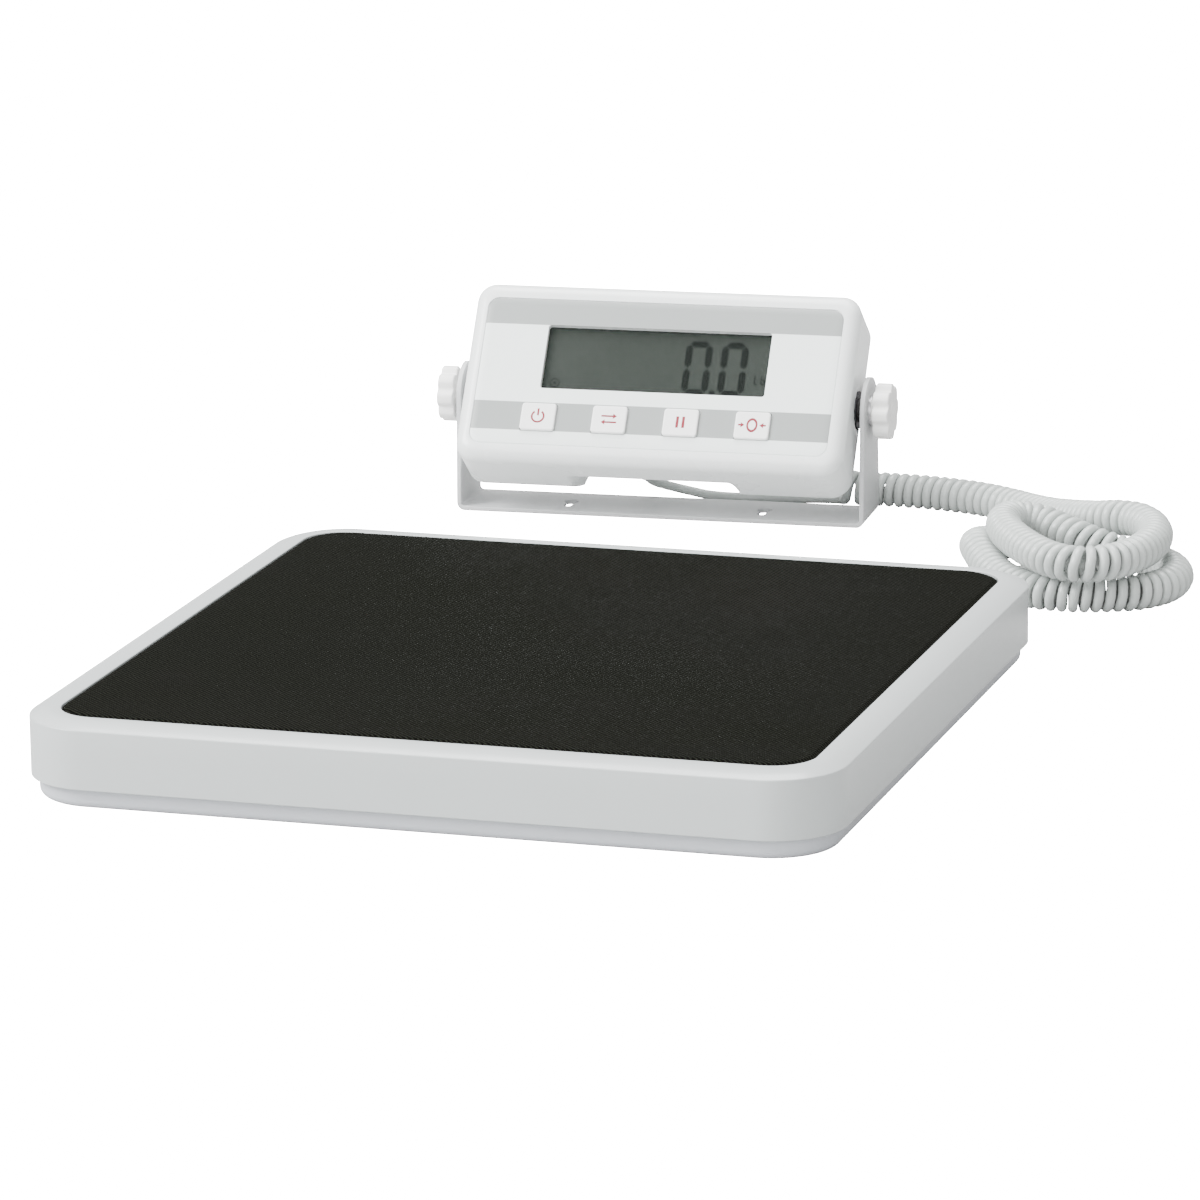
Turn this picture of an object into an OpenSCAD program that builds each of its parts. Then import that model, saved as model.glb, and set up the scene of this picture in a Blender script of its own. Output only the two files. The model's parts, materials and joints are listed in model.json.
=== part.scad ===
// Low-profile animal weighing scale with a tilting remote display.
// The frame's origin is on the floor under the middle of the display's stand:
// X to the right, Y to the back, Z up. Millimetres.

/* [Platform] */
// Width of the platform, side to side
plat_w = 310; // [250:1:420]
// Depth of the platform, front to back
plat_d = 315; // [250:0.5:430]
// Corner radius of the platform
plat_r = 28; // [18:1:40]
// Height of the weighing surface above the floor
plat_h = 34.5; // [32:0.5:48]
// Distance from the platform's edge to the mat
rim_w = 12; // [9:0.5:18]
// Corner radius of the mat
mat_r = 17; // [8:1:30]
// Thickness of the rubber mat
mat_t = 3.2; // [2:0.1:5]
// Height of the cover's lower edge above the floor
cover_z = 9.6; // [8:0.1:13]
// Wall of the platform's plastic shells
shell_t = 2.5; // [1.5:0.1:3.5]
// Thickness of the steel stiffener plate
plate_t = 2.5; // [1.5:0.1:4]
// How far the base tray sits in from the cover
tray_inset = 3; // [2.8:0.1:6]
// Height of the base tray's underside above the floor
tray_z = 1.8; // [1.5:0.1:3]

/* [Feet and load cells] */
// Distance from the platform's side to a foot's middle
foot_in_x = 49; // [45:0.5:65]
// Distance from the platform's front or back to a foot's middle
foot_in_y = 37.5; // [37.5:0.5:60]
// Radius of the rubber foot pad
pad_r = 13; // [9:0.5:16]
// Thickness of the rubber foot pad
pad_t = 5.5; // [5:0.1:7]
// Side of the square load cell
cell_w = 34; // [28:1:40]
// Thickness of the load cell
cell_t = 3; // [2:0.1:4]

/* [Bracket] */
// Gap between the display housing and each arm of the bracket
side_gap = 3; // [2:0.1:6]
// Depth of the bracket's base, front to back
brk_d = 33; // [30:1:45]
// Thickness of the steel strip
brk_t = 2; // [1.5:0.1:3]
// Outside radius of the bends
brk_bend = 3.5; // [2.5:0.1:6]
// Radius of the rounded ear round the pivot
ear_r = 14.3; // [10:0.1:16]
// Height of the pivot above the floor
pivot_z = 47.5; // [47:0.5:70]
// Distance between the two keyholes
key_pitch = 85; // [60:1:120]
// Radius of a keyhole's round end
key_r = 3.2; // [2.5:0.1:4]
// Width of a keyhole's slot
key_slot_w = 3.4; // [2.5:0.1:4]
// Length of a keyhole's slot, from the round end's centre
key_slot_l = 7; // [5:0.5:9]

/* [Display housing] */
// Width of the display housing
head_w = 168; // [140:0.5:190]
// Height of the display housing
head_h = 82.5; // [80:0.5:84]
// Depth of the front shell, from the face to the parting line
front_d = 28; // [26:0.5:32]
// Depth of the back shell
back_d = 12; // [10:0.5:16]
// Corner radius of the housing, seen from the front
head_r = 9; // [6:0.5:14]
// Depth of the rounding round the face
face_round = 6; // [3:0.5:8]
// How far the back shell draws in on each side
back_draw = 6; // [3:0.5:8]
// Wall of the display shells
head_t = 2.5; // [1.8:0.1:3]
// Lean of the face from upright at rest
lean = 36.6; // [20:0.1:45]
// How far the middle of the face sits above the pivot
face_up = 2.1; // [0:0.1:4]
// Distance from the pivot to the face
face_out = 24; // [22:0.5:26]

/* [Face] */
// Distance from the housing's sides to the front overlay
overlay_side = 6.5; // [6:0.1:8]
// Mean distance from the housing's top and bottom to the front overlay
overlay_end = 7.55; // [6.5:0.05:8]
// Width of the display window
lcd_w = 97; // [80:0.5:100]
// Height of the display window
lcd_h = 29; // [24:0.5:31]
// Width of a button cap
btn_w = 15; // [12:0.1:18]
// Height of a button cap
btn_h = 12.4; // [10:0.1:13]
// From the housing's side to the middle of an end button, with the row centred
btn_side = 37.5; // [35:0.5:48]
// Travel of a button
btn_travel = 0.7; // [0.4:0.05:0.75]

/* [Pivot hardware] */
// Radius of the knob over its lobes
knob_r = 12; // [9:0.1:16]
// Thickness of the knob
knob_t = 7; // [5:0.5:12]
// Number of lobes round the knob
knob_lobes = 8; // [5:1:10]
// Radius of the threaded stud
stud_r = 3; // [2:0.1:3.5]
// Radius of the friction washer
friction_r = 4.9; // [4:0.1:7]
// Radius of the thrust washer under the knob
thrust_r = 6.8; // [5:0.1:9]
// Thickness of the thrust washer
thrust_t = 1; // [0.6:0.1:1.6]
// Radius of the pivot insert's body
insert_r = 8; // [5:0.1:8.5]

/* [Batteries] */
// Radius of a battery
cell_r = 7.1; // [5:0.1:7.2]
// Length of a battery
cell_l = 50.5; // [44:0.5:51]
// Number of batteries side by side
cell_n = 4; // [2:1:4]

/* [Fits] */
// Radial clearance of a running fit
run_fit = 0.05; // [0.02:0.01:0.1]
// Gap round a part that drops into an opening
drop_fit = 0.25; // [0.15:0.05:0.4]
// Gap between the base tray and the cover's inner wall
tray_fit = 0.5; // [0.3:0.1:1]

/* [Cord] */
// Diameter of the straight cable
cable_d = 4.1; // [3:0.1:5]
// Outside diameter of the curly stretch
curl_d = 15; // [12:0.5:16]

/* [Hidden] */
$fn = 48;

// Platform levels, from the top down
lip_z = plat_h - 0.2;
rim_z = plat_h - 2.3;
deck_z = plat_h - mat_t;
plate_top = deck_z - shell_t;
plate_z = plate_top - plate_t;
mat_w = plat_w - 2 * rim_w;
mat_d = plat_d - 2 * rim_w;
foot_x = plat_w / 2 - foot_in_x;
foot_y = plat_d / 2 - foot_in_y;
tray_w = plat_w - 2 * tray_inset;
tray_d = plat_d - 2 * tray_inset;
tray_r = plat_r - tray_inset;
tray_floor = 2.2;
tray_wall = 2.2;
tray_top = cover_z + 3.4;
lip_w = 4;

// Load cell stack, from the plate down
seat_h = 6.8;
seat_w = cell_w + 8;
cell_z = plate_z - seat_h - cell_t;
foot_disc_t = 3;
foot_disc_r = pad_r + 2;
foot_col_r = 7;
tongue_w = 15;
slot_w = 2.4;

// Platform fasteners
boss_r = 4;
screw_r = 1.5;
screw_head_r = 3;
screw_head_t = 1.1;
base_screw_l = 18;
shell_screw_l = 19;
boss_gap = 9.5;
boss_side_x = plat_w / 2 - boss_gap - shell_t;
boss_side_y = 70;
boss_end_x = 70;
boss_end_y = plat_d / 2 - boss_gap - shell_t;
boss_points = [
    for (sx = [-1, 1]) for (sy = [-1, 1]) [sx * boss_side_x, sy * boss_side_y],
    for (sx = [-1, 1]) for (sy = [-1, 1]) [sx * boss_end_x, sy * boss_end_y]
];

// Junction board under the stiffener plate
jb_w = 46;
jb_d = 28;
jb_t = 1.6;
jb_y = 60;
jb_drop = 2.4;
jb_z = plate_z - jb_drop - jb_t;
wire_r = 1.2;

// Holes in the stiffener plate, and ribs on the tray's floor
plate_hole_r = 9;
plate_hole_gap = 45;
rib_x = foot_x * 0.4;
rib_t = 2;
rib_h = 4;

// Cord gland at the platform's back wall
gland_x = 63.5;
gland_z = 16;
gland_l = 14;
gland_neck_r = 3.4;
gland_root_r = 4.6;
gland_tip_r = 2.7;
gland_flange_r = 5;
gland_flange_t = 1.5;
gland_collar_r = 4.8;
gland_collar_t = 1.6;

// The platform stands in front of the display's stand, to its right
plat_x = 57;
plat_back = -189.5;
plat_y = plat_back - plat_d / 2;

// The display's stand is turned a little
stand_turn = 3.5;
brk_w = head_w + 2 * (side_gap + brk_t);
brk_in = brk_w / 2 - brk_t;

// Levels through the display, front to back, from the pivot
face_y = -face_out;
inner_y = face_y + head_t;
part_y = face_y + front_d;
back_y = part_y + back_d;
overlay_w = head_w - 2 * overlay_side;
overlay_h = head_h - 2 * overlay_end;
overlay_t = 0.4;
overlay_sink = 0.5;
overlay_r = 5;
overlay_up = -0.7;
lcd_x = -1;
lcd_up = 6.4;
lens_flange = 2;
lens_flange_t = 1;
lcd_t = 2.8;
lcd_frame_t = 1.8;
lcd_frame_gap = 0.2;
board_w = head_w - 18;
board_h = 60;
board_t = 1.6;
board_y = inner_y + 7.8;
btn_up = -22;
btn_x0 = -2;
btn_pitch = (head_w - 2 * btn_side) / 3;
btn_proud = 1.2;
btn_flange = 0.8;
btn_flange_t = 1;
btn_stem_r = 2;
btn_stem = 1.4;
switch_gap = 0.1;
btn_steps = [-1.5, -0.5, 0.5, 1.5];

// Shell fasteners of the display
post_x = head_w / 2 - 12;
post_up = 31;
post_r = 4;
post_points = [for (sx = [-1, 1]) for (sz = [-1, 1]) [sx * post_x, sz * post_up]];

// Battery box in the back shell
bat_pitch = 2 * cell_r + 0.8;
bat_in_w = cell_n * bat_pitch;
bat_x = head_w / 2 - 18 - bat_in_w / 2;
bat_up = 6.75;
bat_in_h = cell_l + 4;
bat_wall = 1.5;
bat_floor_y = back_y - 19.5;
door_over = 2;
door_t = 1.95;
door_w = bat_in_w + 2 * door_over;
door_h = bat_in_h + 2 * door_over;
door_axis_up = bat_up + door_h / 2 - door_t / 2;
door_axis_y = back_y - door_t / 2;
contact_t = 0.4;
contact_w = 10;
contact_h = 9;
spring_root_r = 3.4;
spring_tip_r = 2;
nub_r = 2.7;
nub_h = 1;

// Grip ribs at the door's lower edge
grip_w = 24;
grip_pitch = 2.4;
grip_t = 1;
grip_proud = 0.5;
grip_ribs = 5;

// Gland of the display's back shell
out_x = bat_x - bat_in_w / 2 - 18;
out_up = -22;
out_l = 12;
buzzer_r = 6;
buzzer_h = 6;

// Knob: how far the hub keeps the lobes from the washer, and how far the stud goes in
hub_gap = 1.5;
stud_in_knob = 6;
stud_hole = 7;
knob_seat = 0.02;

// Insert in the housing's side at each pivot
insert_in = 11;
insert_flange_r = insert_r + 1.5;
insert_flange_t = 2.2;
insert_end = head_w / 2 - 0.1;

// Notch in the housing's underside
notch_w = 73;
notch_top_w = 66;
notch_d = 11;
notch_slope = 0.45;
notch_front = part_y - notch_d;
notch_h = notch_slope * (back_y + 2 - notch_front);

// Route of the lead, from the display's gland to the curly stretch
LEAD = [
    from_head([out_x, back_y + out_l + 0.1, out_up]), [-11.8, 12.6, 10.6],
    [-10.6, 16.4, 8.3], [-7.8, 20.2, 6.4], [-3, 23, 4.6],
    [4, 24, 3.1], [12, 23.2, 2.2], [23, 22.6, 2.1], [37, 24.4, 2.1], [51, 26.9, 2.1],
    [60, 28.5, 2.1], [68, 29.6, 2.1]
];
// Route of the curly stretch's middle line
CURL = [
    [68, 29.6, 7.5], [78, 30.1, 7.5], [90, 30.2, 7.5], [105, 29.5, 7.5], [120, 27, 7.5], [134, 22.5, 7.5],
    [147, 15.5, 7.5], [159, 5, 8.2], [170, -7.5, 10.2], [180, -20.5, 13], [190, -33.5, 16.2],
    [200, -45, 19.3], [210, -52, 21.8], [220, -58, 22.6], [228, -69.5, 22.6], [232.5, -84, 22.6],
    [233.5, -99, 22.6], [231, -115, 22.6], [224.5, -129, 22.6], [213.5, -136, 22.6], [201.5, -131.5, 22.6],
    [190, -119, 22.6], [180, -104.5, 22.6], [171.8, -89.5, 22.6], [167.2, -75.5, 22.6],
    [168.5, -63, 21.8], [178, -58.5, 19.6], [189, -62, 17.2], [199, -66.5, 15], [209, -67.8, 12.2],
    [219, -65.8, 9.2], [229, -67, 7.6], [237.5, -75.5, 7.5], [242.2, -89, 7.5], [241, -104, 7.5],
    [233, -116.5, 7.5], [221, -123.2, 7.5], [208, -126.4, 7.5], [195, -125.4, 7.5], [183.5, -118, 7.5],
    [173, -106, 8], [164, -91.5, 10], [156.8, -77.5, 11.6], [153.6, -63.5, 9.8], [157.5, -50.5, 7.8],
    [167, -42.5, 7.5], [178, -40.5, 7.5]
];
// Route of the tail, from the curly stretch to the platform's gland
TAIL = [
    [178, -40.5, 2.1], [186, -42.5, 2.1], [191.5, -49, 2.1], [191.5, -57.5, 2.1], [185.5, -65.5, 2.1],
    [175, -71.5, 2.1], [162.5, -76.5, 2.1], [150, -83.5, 2.1], [139, -94.5, 2.1], [130.5, -109, 2.1],
    [125, -126, 2.1], [122, -143, 3.6], [120.8, -157, 8.5], [120.5, -168, 13.6],
    [plat_x + gland_x, plat_back + gland_l, gland_z]
];

// ---- shared shapes ----

// A rectangle with true round corners, centred
module round_rect(w, h, r) {
    square([w - 2 * r, h], center = true);
    square([w, h - 2 * r], center = true);
    for (sx = [-1, 1]) {
        for (sy = [-1, 1]) {
            translate([sx * (w / 2 - r), sy * (h / 2 - r)]) circle(r);
        }
    }
}

// A flat plate with round corners, from z0 up
module plate(w, d, r, z0, t) {
    translate([0, 0, z0]) linear_extrude(t) round_rect(w, d, r);
}

// An upright cylinder on a point
module post(p, r, z0, h) {
    translate([p[0], p[1], z0]) cylinder(r = r, h = h);
}

// A plate parallel to the display's face, from y0 back, its middle at x and up
module face_plate(w, h, r, y0, t, x = 0, up = 0) {
    translate([x, y0 + t, up + face_up]) rotate([90, 0, 0]) linear_extrude(t) round_rect(w, h, r);
}

// A cylinder that runs from the face to the back, from y0 back
module face_post(x, up, r, y0, t, r2 = 0) {
    translate([x, y0, up + face_up])
        rotate([-90, 0, 0]) cylinder(r1 = r, r2 = r2 == 0 ? r : r2, h = t);
}

// A cylinder on the pivot's axis, from x0 outwards; side is 1 at the right, -1 at the left
module axle(side, r, x0, l) {
    translate([side * x0, 0, 0]) rotate([0, side * 90, 0]) cylinder(r = r, h = l);
}

// Places a child that is drawn from the platform's middle
module in_platform() {
    translate([plat_x, plat_y, 0]) children();
}

// Places a child that is drawn from the pivot, with the stand turned and the face leaning
module in_stand() {
    rotate([0, 0, stand_turn]) children();
}
module in_head() {
    in_stand() translate([0, 0, pivot_z]) rotate([-lean, 0, 0]) children();
}

// A point of the display, from the frame's origin
function from_head(p) =
    let (y = p[1] * cos(lean) + p[2] * sin(lean), z = p[2] * cos(lean) - p[1] * sin(lean))
        [p[0] * cos(stand_turn) - y * sin(stand_turn), p[0] * sin(stand_turn) + y * cos(stand_turn),
            z + pivot_z];

// A tube swept along points: each ring is square to the line between its neighbours
function unit(v) = v / norm(v);
function heading(p, i) =
    unit(p[min(i + 1, len(p) - 1)] - p[max(i - 1, 0)]);
function side_of(d) = unit(cross(d, [0, 0, 1]));
function ring(c, d, r, n) = let (s = side_of(d), u = cross(s, d))
    [for (k = [0 : n - 1]) c + r * (cos(360 * k / n) * s + sin(360 * k / n) * u)];
function tube_points(p, r, n, d0, d1) = [
    for (i = [0 : len(p) - 1])
        for (q = ring(p[i], i == 0 ? d0 : i == len(p) - 1 ? d1 : heading(p, i), r, n)) q
];
module tube(p, r, n, d0, d1) {
    last = (len(p) - 1) * n;
    polyhedron(
        points = tube_points(p, r, n, d0, d1),
        faces = concat(
            [[for (k = [0 : n - 1]) k]],
            [for (i = [0 : len(p) - 2]) for (k = [0 : n - 1])
                [i * n + k, (i + 1) * n + k, (i + 1) * n + (k + 1) % n]],
            [for (i = [0 : len(p) - 2]) for (k = [0 : n - 1])
                [i * n + k, (i + 1) * n + (k + 1) % n, i * n + (k + 1) % n]],
            [[for (k = [n - 1 : -1 : 0]) last + k]]
        )
    );
}

// ---- platform ----

module platform_cover() {
    inner_w = plat_w - 2 * shell_t;
    inner_d = plat_d - 2 * shell_t;
    color([0.86, 0.87, 0.87]) in_platform() difference() {
        union() {
            plate(plat_w, plat_d, plat_r, cover_z, rim_z - cover_z);
            hull() {
                plate(plat_w, plat_d, plat_r, rim_z - 0.2, 0.2);
                plate(mat_w + 2 * lip_w, mat_d + 2 * lip_w, mat_r + lip_w, lip_z - 0.1, 0.1);
            }
            for (p = boss_points) {
                post(p, boss_r, tray_z + tray_floor, plate_top - tray_z - tray_floor);
            }
        }
        plate(mat_w + 2 * drop_fit, mat_d + 2 * drop_fit, mat_r + drop_fit, deck_z, plat_h);
        difference() {
            plate(inner_w, inner_d, plat_r - shell_t, cover_z - 1, plate_top - cover_z + 1);
            for (p = boss_points) {
                post(p, boss_r, 0, plate_top);
            }
        }
        for (p = boss_points) {
            post(p, screw_r + run_fit, 0, plate_top - 4);
        }
        translate([gland_x, plat_d / 2 + 1, gland_z])
            rotate([90, 0, 0]) cylinder(r = gland_neck_r + run_fit, h = shell_t + 2);
    }
}

module platform_mat() {
    color([0.16, 0.16, 0.15]) in_platform() plate(mat_w, mat_d, mat_r, deck_z, mat_t);
}

module stiffener_plate() {
    plate_w = 2 * (boss_side_x - boss_r - 2);
    plate_d = 2 * (boss_end_y - boss_r - 2);
    color([0.62, 0.63, 0.64]) in_platform() difference() {
        plate(plate_w, plate_d, plat_r / 2, plate_z, plate_t);
        for (sx = [-1, 1]) {
            for (y = [-plate_hole_gap, 0, plate_hole_gap]) {
                translate([sx * foot_x / 2, y, plate_z - 1])
                    cylinder(r = plate_hole_r, h = plate_t + 2);
            }
        }
    }
}

module base_tray() {
    color([0.74, 0.75, 0.76]) in_platform() difference() {
        plate(tray_w, tray_d, tray_r, tray_z, tray_top - tray_z);
        difference() {
            plate(tray_w - 2 * tray_wall, tray_d - 2 * tray_wall, tray_r - tray_wall,
                tray_z + tray_floor, plat_h);
            for (sx = [-1, 1]) {
                translate([sx * rib_x, 0, tray_z + tray_floor + rib_h / 2])
                    cube([rib_t, tray_d - 70, rib_h], center = true);
            }
        }
        for (sx = [-1, 1]) {
            for (sy = [-1, 1]) {
                post([sx * foot_x, sy * foot_y], pad_r + 1, 0, plat_h);
            }
        }
        for (p = boss_points) {
            post(p, screw_r + 0.2, 0, plat_h);
            post(p, screw_head_r + 0.2, 0, tray_z + screw_head_t + 0.1);
        }
        // the back wall makes way for the gland's flange
        translate([gland_x, plat_d / 2, gland_z])
            rotate([90, 0, 0]) cylinder(r = gland_flange_r + 1, h = 12);
    }
}

module load_cell_seats() {
    color([0.2, 0.2, 0.21]) in_platform() for (sx = [-1, 1]) {
        for (sy = [-1, 1]) {
            translate([sx * foot_x, sy * foot_y, 0]) difference() {
                plate(seat_w, seat_w, 3, plate_z - seat_h, seat_h);
                plate(cell_w - 8, cell_w - 8, 2, plate_z - seat_h - 1, seat_h + 2);
            }
        }
    }
}

// A steel plate whose middle tongue bends under load
module load_cell(sx, sy) {
    color([0.66, 0.67, 0.69]) in_platform() translate([sx * foot_x, sy * foot_y, 0]) difference() {
        plate(cell_w, cell_w, 2, cell_z, cell_t);
        translate([0, -slot_w / 2, cell_z - 1]) linear_extrude(cell_t + 2) difference() {
            square([tongue_w + 2 * slot_w, tongue_w + slot_w], center = true);
            translate([0, slot_w]) square([tongue_w, tongue_w + slot_w], center = true);
        }
    }
}

module foot(sx, sy) {
    color([0.25, 0.25, 0.26]) in_platform() translate([sx * foot_x, sy * foot_y, 0]) {
        translate([0, 0, pad_t]) cylinder(r = foot_disc_r, h = foot_disc_t);
        translate([0, 0, pad_t + foot_disc_t - 0.1])
            cylinder(r = foot_col_r, h = cell_z - pad_t - foot_disc_t + 0.1);
    }
}

module foot_pad(sx, sy) {
    color([0.1, 0.1, 0.1]) in_platform() translate([sx * foot_x, sy * foot_y, 0])
        rotate_extrude() polygon([
            [0, 0], [pad_r - 1, 0], [pad_r, 1], [pad_r, pad_t], [0, pad_t]
        ]);
}

module base_screws() {
    color([0.7, 0.7, 0.72]) in_platform() for (p = boss_points) {
        post(p, screw_head_r, tray_z + 0.1, screw_head_t);
        post(p, screw_r, tray_z + 0.1, base_screw_l);
    }
}

module junction_board() {
    color([0.1, 0.42, 0.2]) in_platform() translate([0, jb_y, 0]) plate(jb_w, jb_d, 1, jb_z, jb_t);
}

module board_standoffs() {
    color([0.9, 0.9, 0.88]) in_platform() for (sx = [-1, 1]) {
        post([sx * (jb_w / 2 - 4), jb_y], 2.5, jb_z + jb_t, jb_drop);
    }
}

// One round wire from each load cell to the junction board
module sensor_wires() {
    color([0.75, 0.2, 0.15]) in_platform() for (sx = [-1, 1]) {
        for (sy = [-1, 1]) {
            a = [sx * (foot_x - seat_w / 2 - 3), sy * (foot_y - seat_w / 2 - 3), jb_z + 0.8];
            b = [sx * (jb_w / 2 - 1), jb_y + sy * 8, jb_z - wire_r];
            run = b - a;
            translate(a) rotate([0, acos(run[2] / norm(run)), atan2(run[1], run[0])])
                cylinder(r = wire_r, h = norm(run));
        }
    }
}

// A tapered strain relief: inner collar, neck through the wall, flange and taper, along +Z
module strain_relief(wall, length) {
    translate([0, 0, -wall - gland_collar_t]) cylinder(r = gland_collar_r, h = gland_collar_t);
    translate([0, 0, -wall - 0.1]) cylinder(r = gland_neck_r, h = wall + 0.2);
    cylinder(r = gland_flange_r, h = gland_flange_t);
    translate([0, 0, gland_flange_t - 0.1])
        cylinder(r1 = gland_root_r, r2 = gland_tip_r, h = length - gland_flange_t + 0.1);
}

module base_cord_gland() {
    color([0.78, 0.8, 0.79]) in_platform() translate([gland_x, plat_d / 2, gland_z])
        rotate([-90, 0, 0]) strain_relief(shell_t, gland_l);
}

// ---- bracket ----

// The strip seen from the front: a U with round bends
module bracket_front(w, z0, bend) {
    top = pivot_z + ear_r + 1;
    translate([0, z0 + bend]) {
        translate([-w / 2, 0]) square([w, top - z0 - bend]);
    }
    translate([-w / 2 + bend, z0]) square([w - 2 * bend, bend + 1]);
    for (s = [-1, 1]) {
        translate([s * (w / 2 - bend), z0 + bend]) circle(bend);
    }
}

// The strip seen from the side: an arm that narrows to the ear
module bracket_side() {
    translate([0, pivot_z]) circle(ear_r);
    polygon([
        [-brk_d / 2, 0], [brk_d / 2, 0], [brk_d / 2, brk_bend + 4],
        [ear_r, pivot_z], [-ear_r, pivot_z], [-brk_d / 2, brk_bend + 4]
    ]);
}

module keyhole() {
    translate([0, key_slot_l / 2 - key_r, -1]) {
        cylinder(r = key_r, h = brk_t + 2);
        translate([-key_slot_w / 2, -key_slot_l, 0]) cube([key_slot_w, key_slot_l, brk_t + 2]);
        translate([0, -key_slot_l, 0]) cylinder(r = key_slot_w / 2, h = brk_t + 2);
    }
}

module bracket() {
    color([0.76, 0.77, 0.77]) in_stand() difference() {
        intersection() {
            translate([0, brk_d / 2 + 1, 0]) rotate([90, 0, 0]) linear_extrude(brk_d + 2)
                difference() {
                    bracket_front(brk_w, 0, brk_bend);
                    translate([0, 0.01]) bracket_front(brk_w - 2 * brk_t, brk_t, brk_bend - brk_t);
                    translate([0, pivot_z * 2]) square([brk_w - 2 * brk_t, pivot_z], center = true);
                }
            translate([-brk_w / 2 - 1, 0, 0]) rotate([90, 0, 90])
                linear_extrude(brk_w + 2) bracket_side();
        }
        for (s = [-1, 1]) {
            translate([0, 0, pivot_z]) axle(s, stud_r + 0.3, brk_in - 1, brk_t + 2);
            translate([s * key_pitch / 2, 0, 0]) keyhole();
        }
    }
}

// ---- display shells ----

// The outline of the front shell, grown or shrunk by e
module front_form(e) {
    hull() {
        face_plate(head_w - face_round + 2 * e, head_h - face_round + 2 * e, head_r - 3 + e,
            face_y - e, 0.5);
        face_plate(head_w - 1.6 + 2 * e, head_h - 1.6 + 2 * e, head_r - 0.8 + e,
            face_y + face_round / 3 - e, 0.5);
        face_plate(head_w + 2 * e, head_h + 2 * e, head_r + e, face_y + face_round - e, 0.5);
    }
    face_plate(head_w + 2 * e, head_h + 2 * e, head_r + e,
        face_y + face_round - e, front_d - face_round + e);
}

// The outline of the back shell, which draws in towards the back
module back_form(e) {
    hull() {
        face_plate(head_w + 2 * e, head_h + 2 * e, head_r + e, part_y, 0.3);
        face_plate(head_w - back_draw + 2 * e, head_h - back_draw + 2 * e, head_r - 1 + e,
            part_y + back_d * 0.55 + e, 0.3);
        face_plate(head_w - 2 * back_draw + 2 * e, head_h - 2 * back_draw + 2 * e,
            head_r - 2 + e, back_y - 0.3 + e, 0.3);
    }
}

module side_seats(gap) {
    for (s = [-1, 1]) {
        axle(s, insert_r + gap, head_w / 2 - head_t - 4, head_t + 8);
    }
}

// The wedge-shaped notch across the housing's underside, deeper towards the back; e grows it
module under_notch(e = 0) {
    low = face_up - head_h / 2;
    intersection() {
        translate([0, back_y + 2, low]) rotate([90, 0, 0])
            linear_extrude(back_y + 2 - notch_front + e) polygon([
                [-notch_w / 2 - e, -1], [notch_w / 2 + e, -1], [notch_w / 2 + e, 0],
                [notch_top_w / 2 + e, notch_h + 2 * e], [-notch_top_w / 2 - e, notch_h + 2 * e],
                [-notch_w / 2 - e, 0]
            ]);
        rotate([90, 0, 90]) linear_extrude(notch_w + 2 * e + 2, center = true) polygon([
            [notch_front - e, low - 1], [back_y + 3, low - 1],
            [back_y + 3, low + notch_h + notch_slope + 1.1 * e], [notch_front, low + 1.1 * e],
            [notch_front - e, low + 0.65 * e]
        ]);
    }
}

// The wall that closes a shell above the notch, between two depths
module notch_roof(y0, y1) {
    low = face_up - head_h / 2;
    intersection() {
        under_notch(head_t);
        translate([-head_w / 2, y0, low + 0.5]) cube([head_w, y1 - y0, head_h / 2]);
    }
}

module display_bezel() {
    color([0.92, 0.93, 0.93]) in_head() difference() {
        union() {
            difference() {
                front_form(0);
                intersection() {
                    front_form(-head_t);
                    face_plate(head_w, head_h, 1, inner_y, front_d);
                }
                face_plate(head_w - 2 * head_t, head_h - 2 * head_t, head_r - head_t,
                    part_y - 1, 3);
            }
            for (p = post_points) {
                face_post(p[0], p[1], post_r, inner_y - 0.5, part_y - inner_y + 0.5);
            }
            notch_roof(notch_front - head_t, part_y - 0.05);
        }
        face_plate(overlay_w + 2 * drop_fit, overlay_h + 2 * drop_fit, overlay_r + drop_fit,
            face_y - 1, overlay_sink + 1, 0, overlay_up);
        face_plate(lcd_w + 2 * drop_fit, lcd_h + 2 * drop_fit, 1, face_y - 1, head_t + 2,
            lcd_x, lcd_up);
        for (k = btn_steps) {
            face_plate(btn_w + 2 * drop_fit, btn_h + 2 * drop_fit, 1, face_y - 1, head_t + 2,
                btn_x0 + k * btn_pitch, btn_up);
        }
        for (p = post_points) {
            face_post(p[0], p[1], screw_r + run_fit, inner_y + 3, front_d);
        }
        side_seats(0.1);
        under_notch();
    }
}

// The walls and floor of the battery box
module battery_box() {
    out_w = bat_in_w + 2 * bat_wall;
    out_h = bat_in_h + 2 * bat_wall;
    difference() {
        face_plate(out_w, out_h, 2, bat_floor_y - bat_wall, back_y - bat_floor_y + bat_wall - 1,
            bat_x, bat_up - face_up);
        face_plate(bat_in_w, bat_in_h, 1, bat_floor_y, back_y, bat_x, bat_up - face_up);
    }
}

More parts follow.
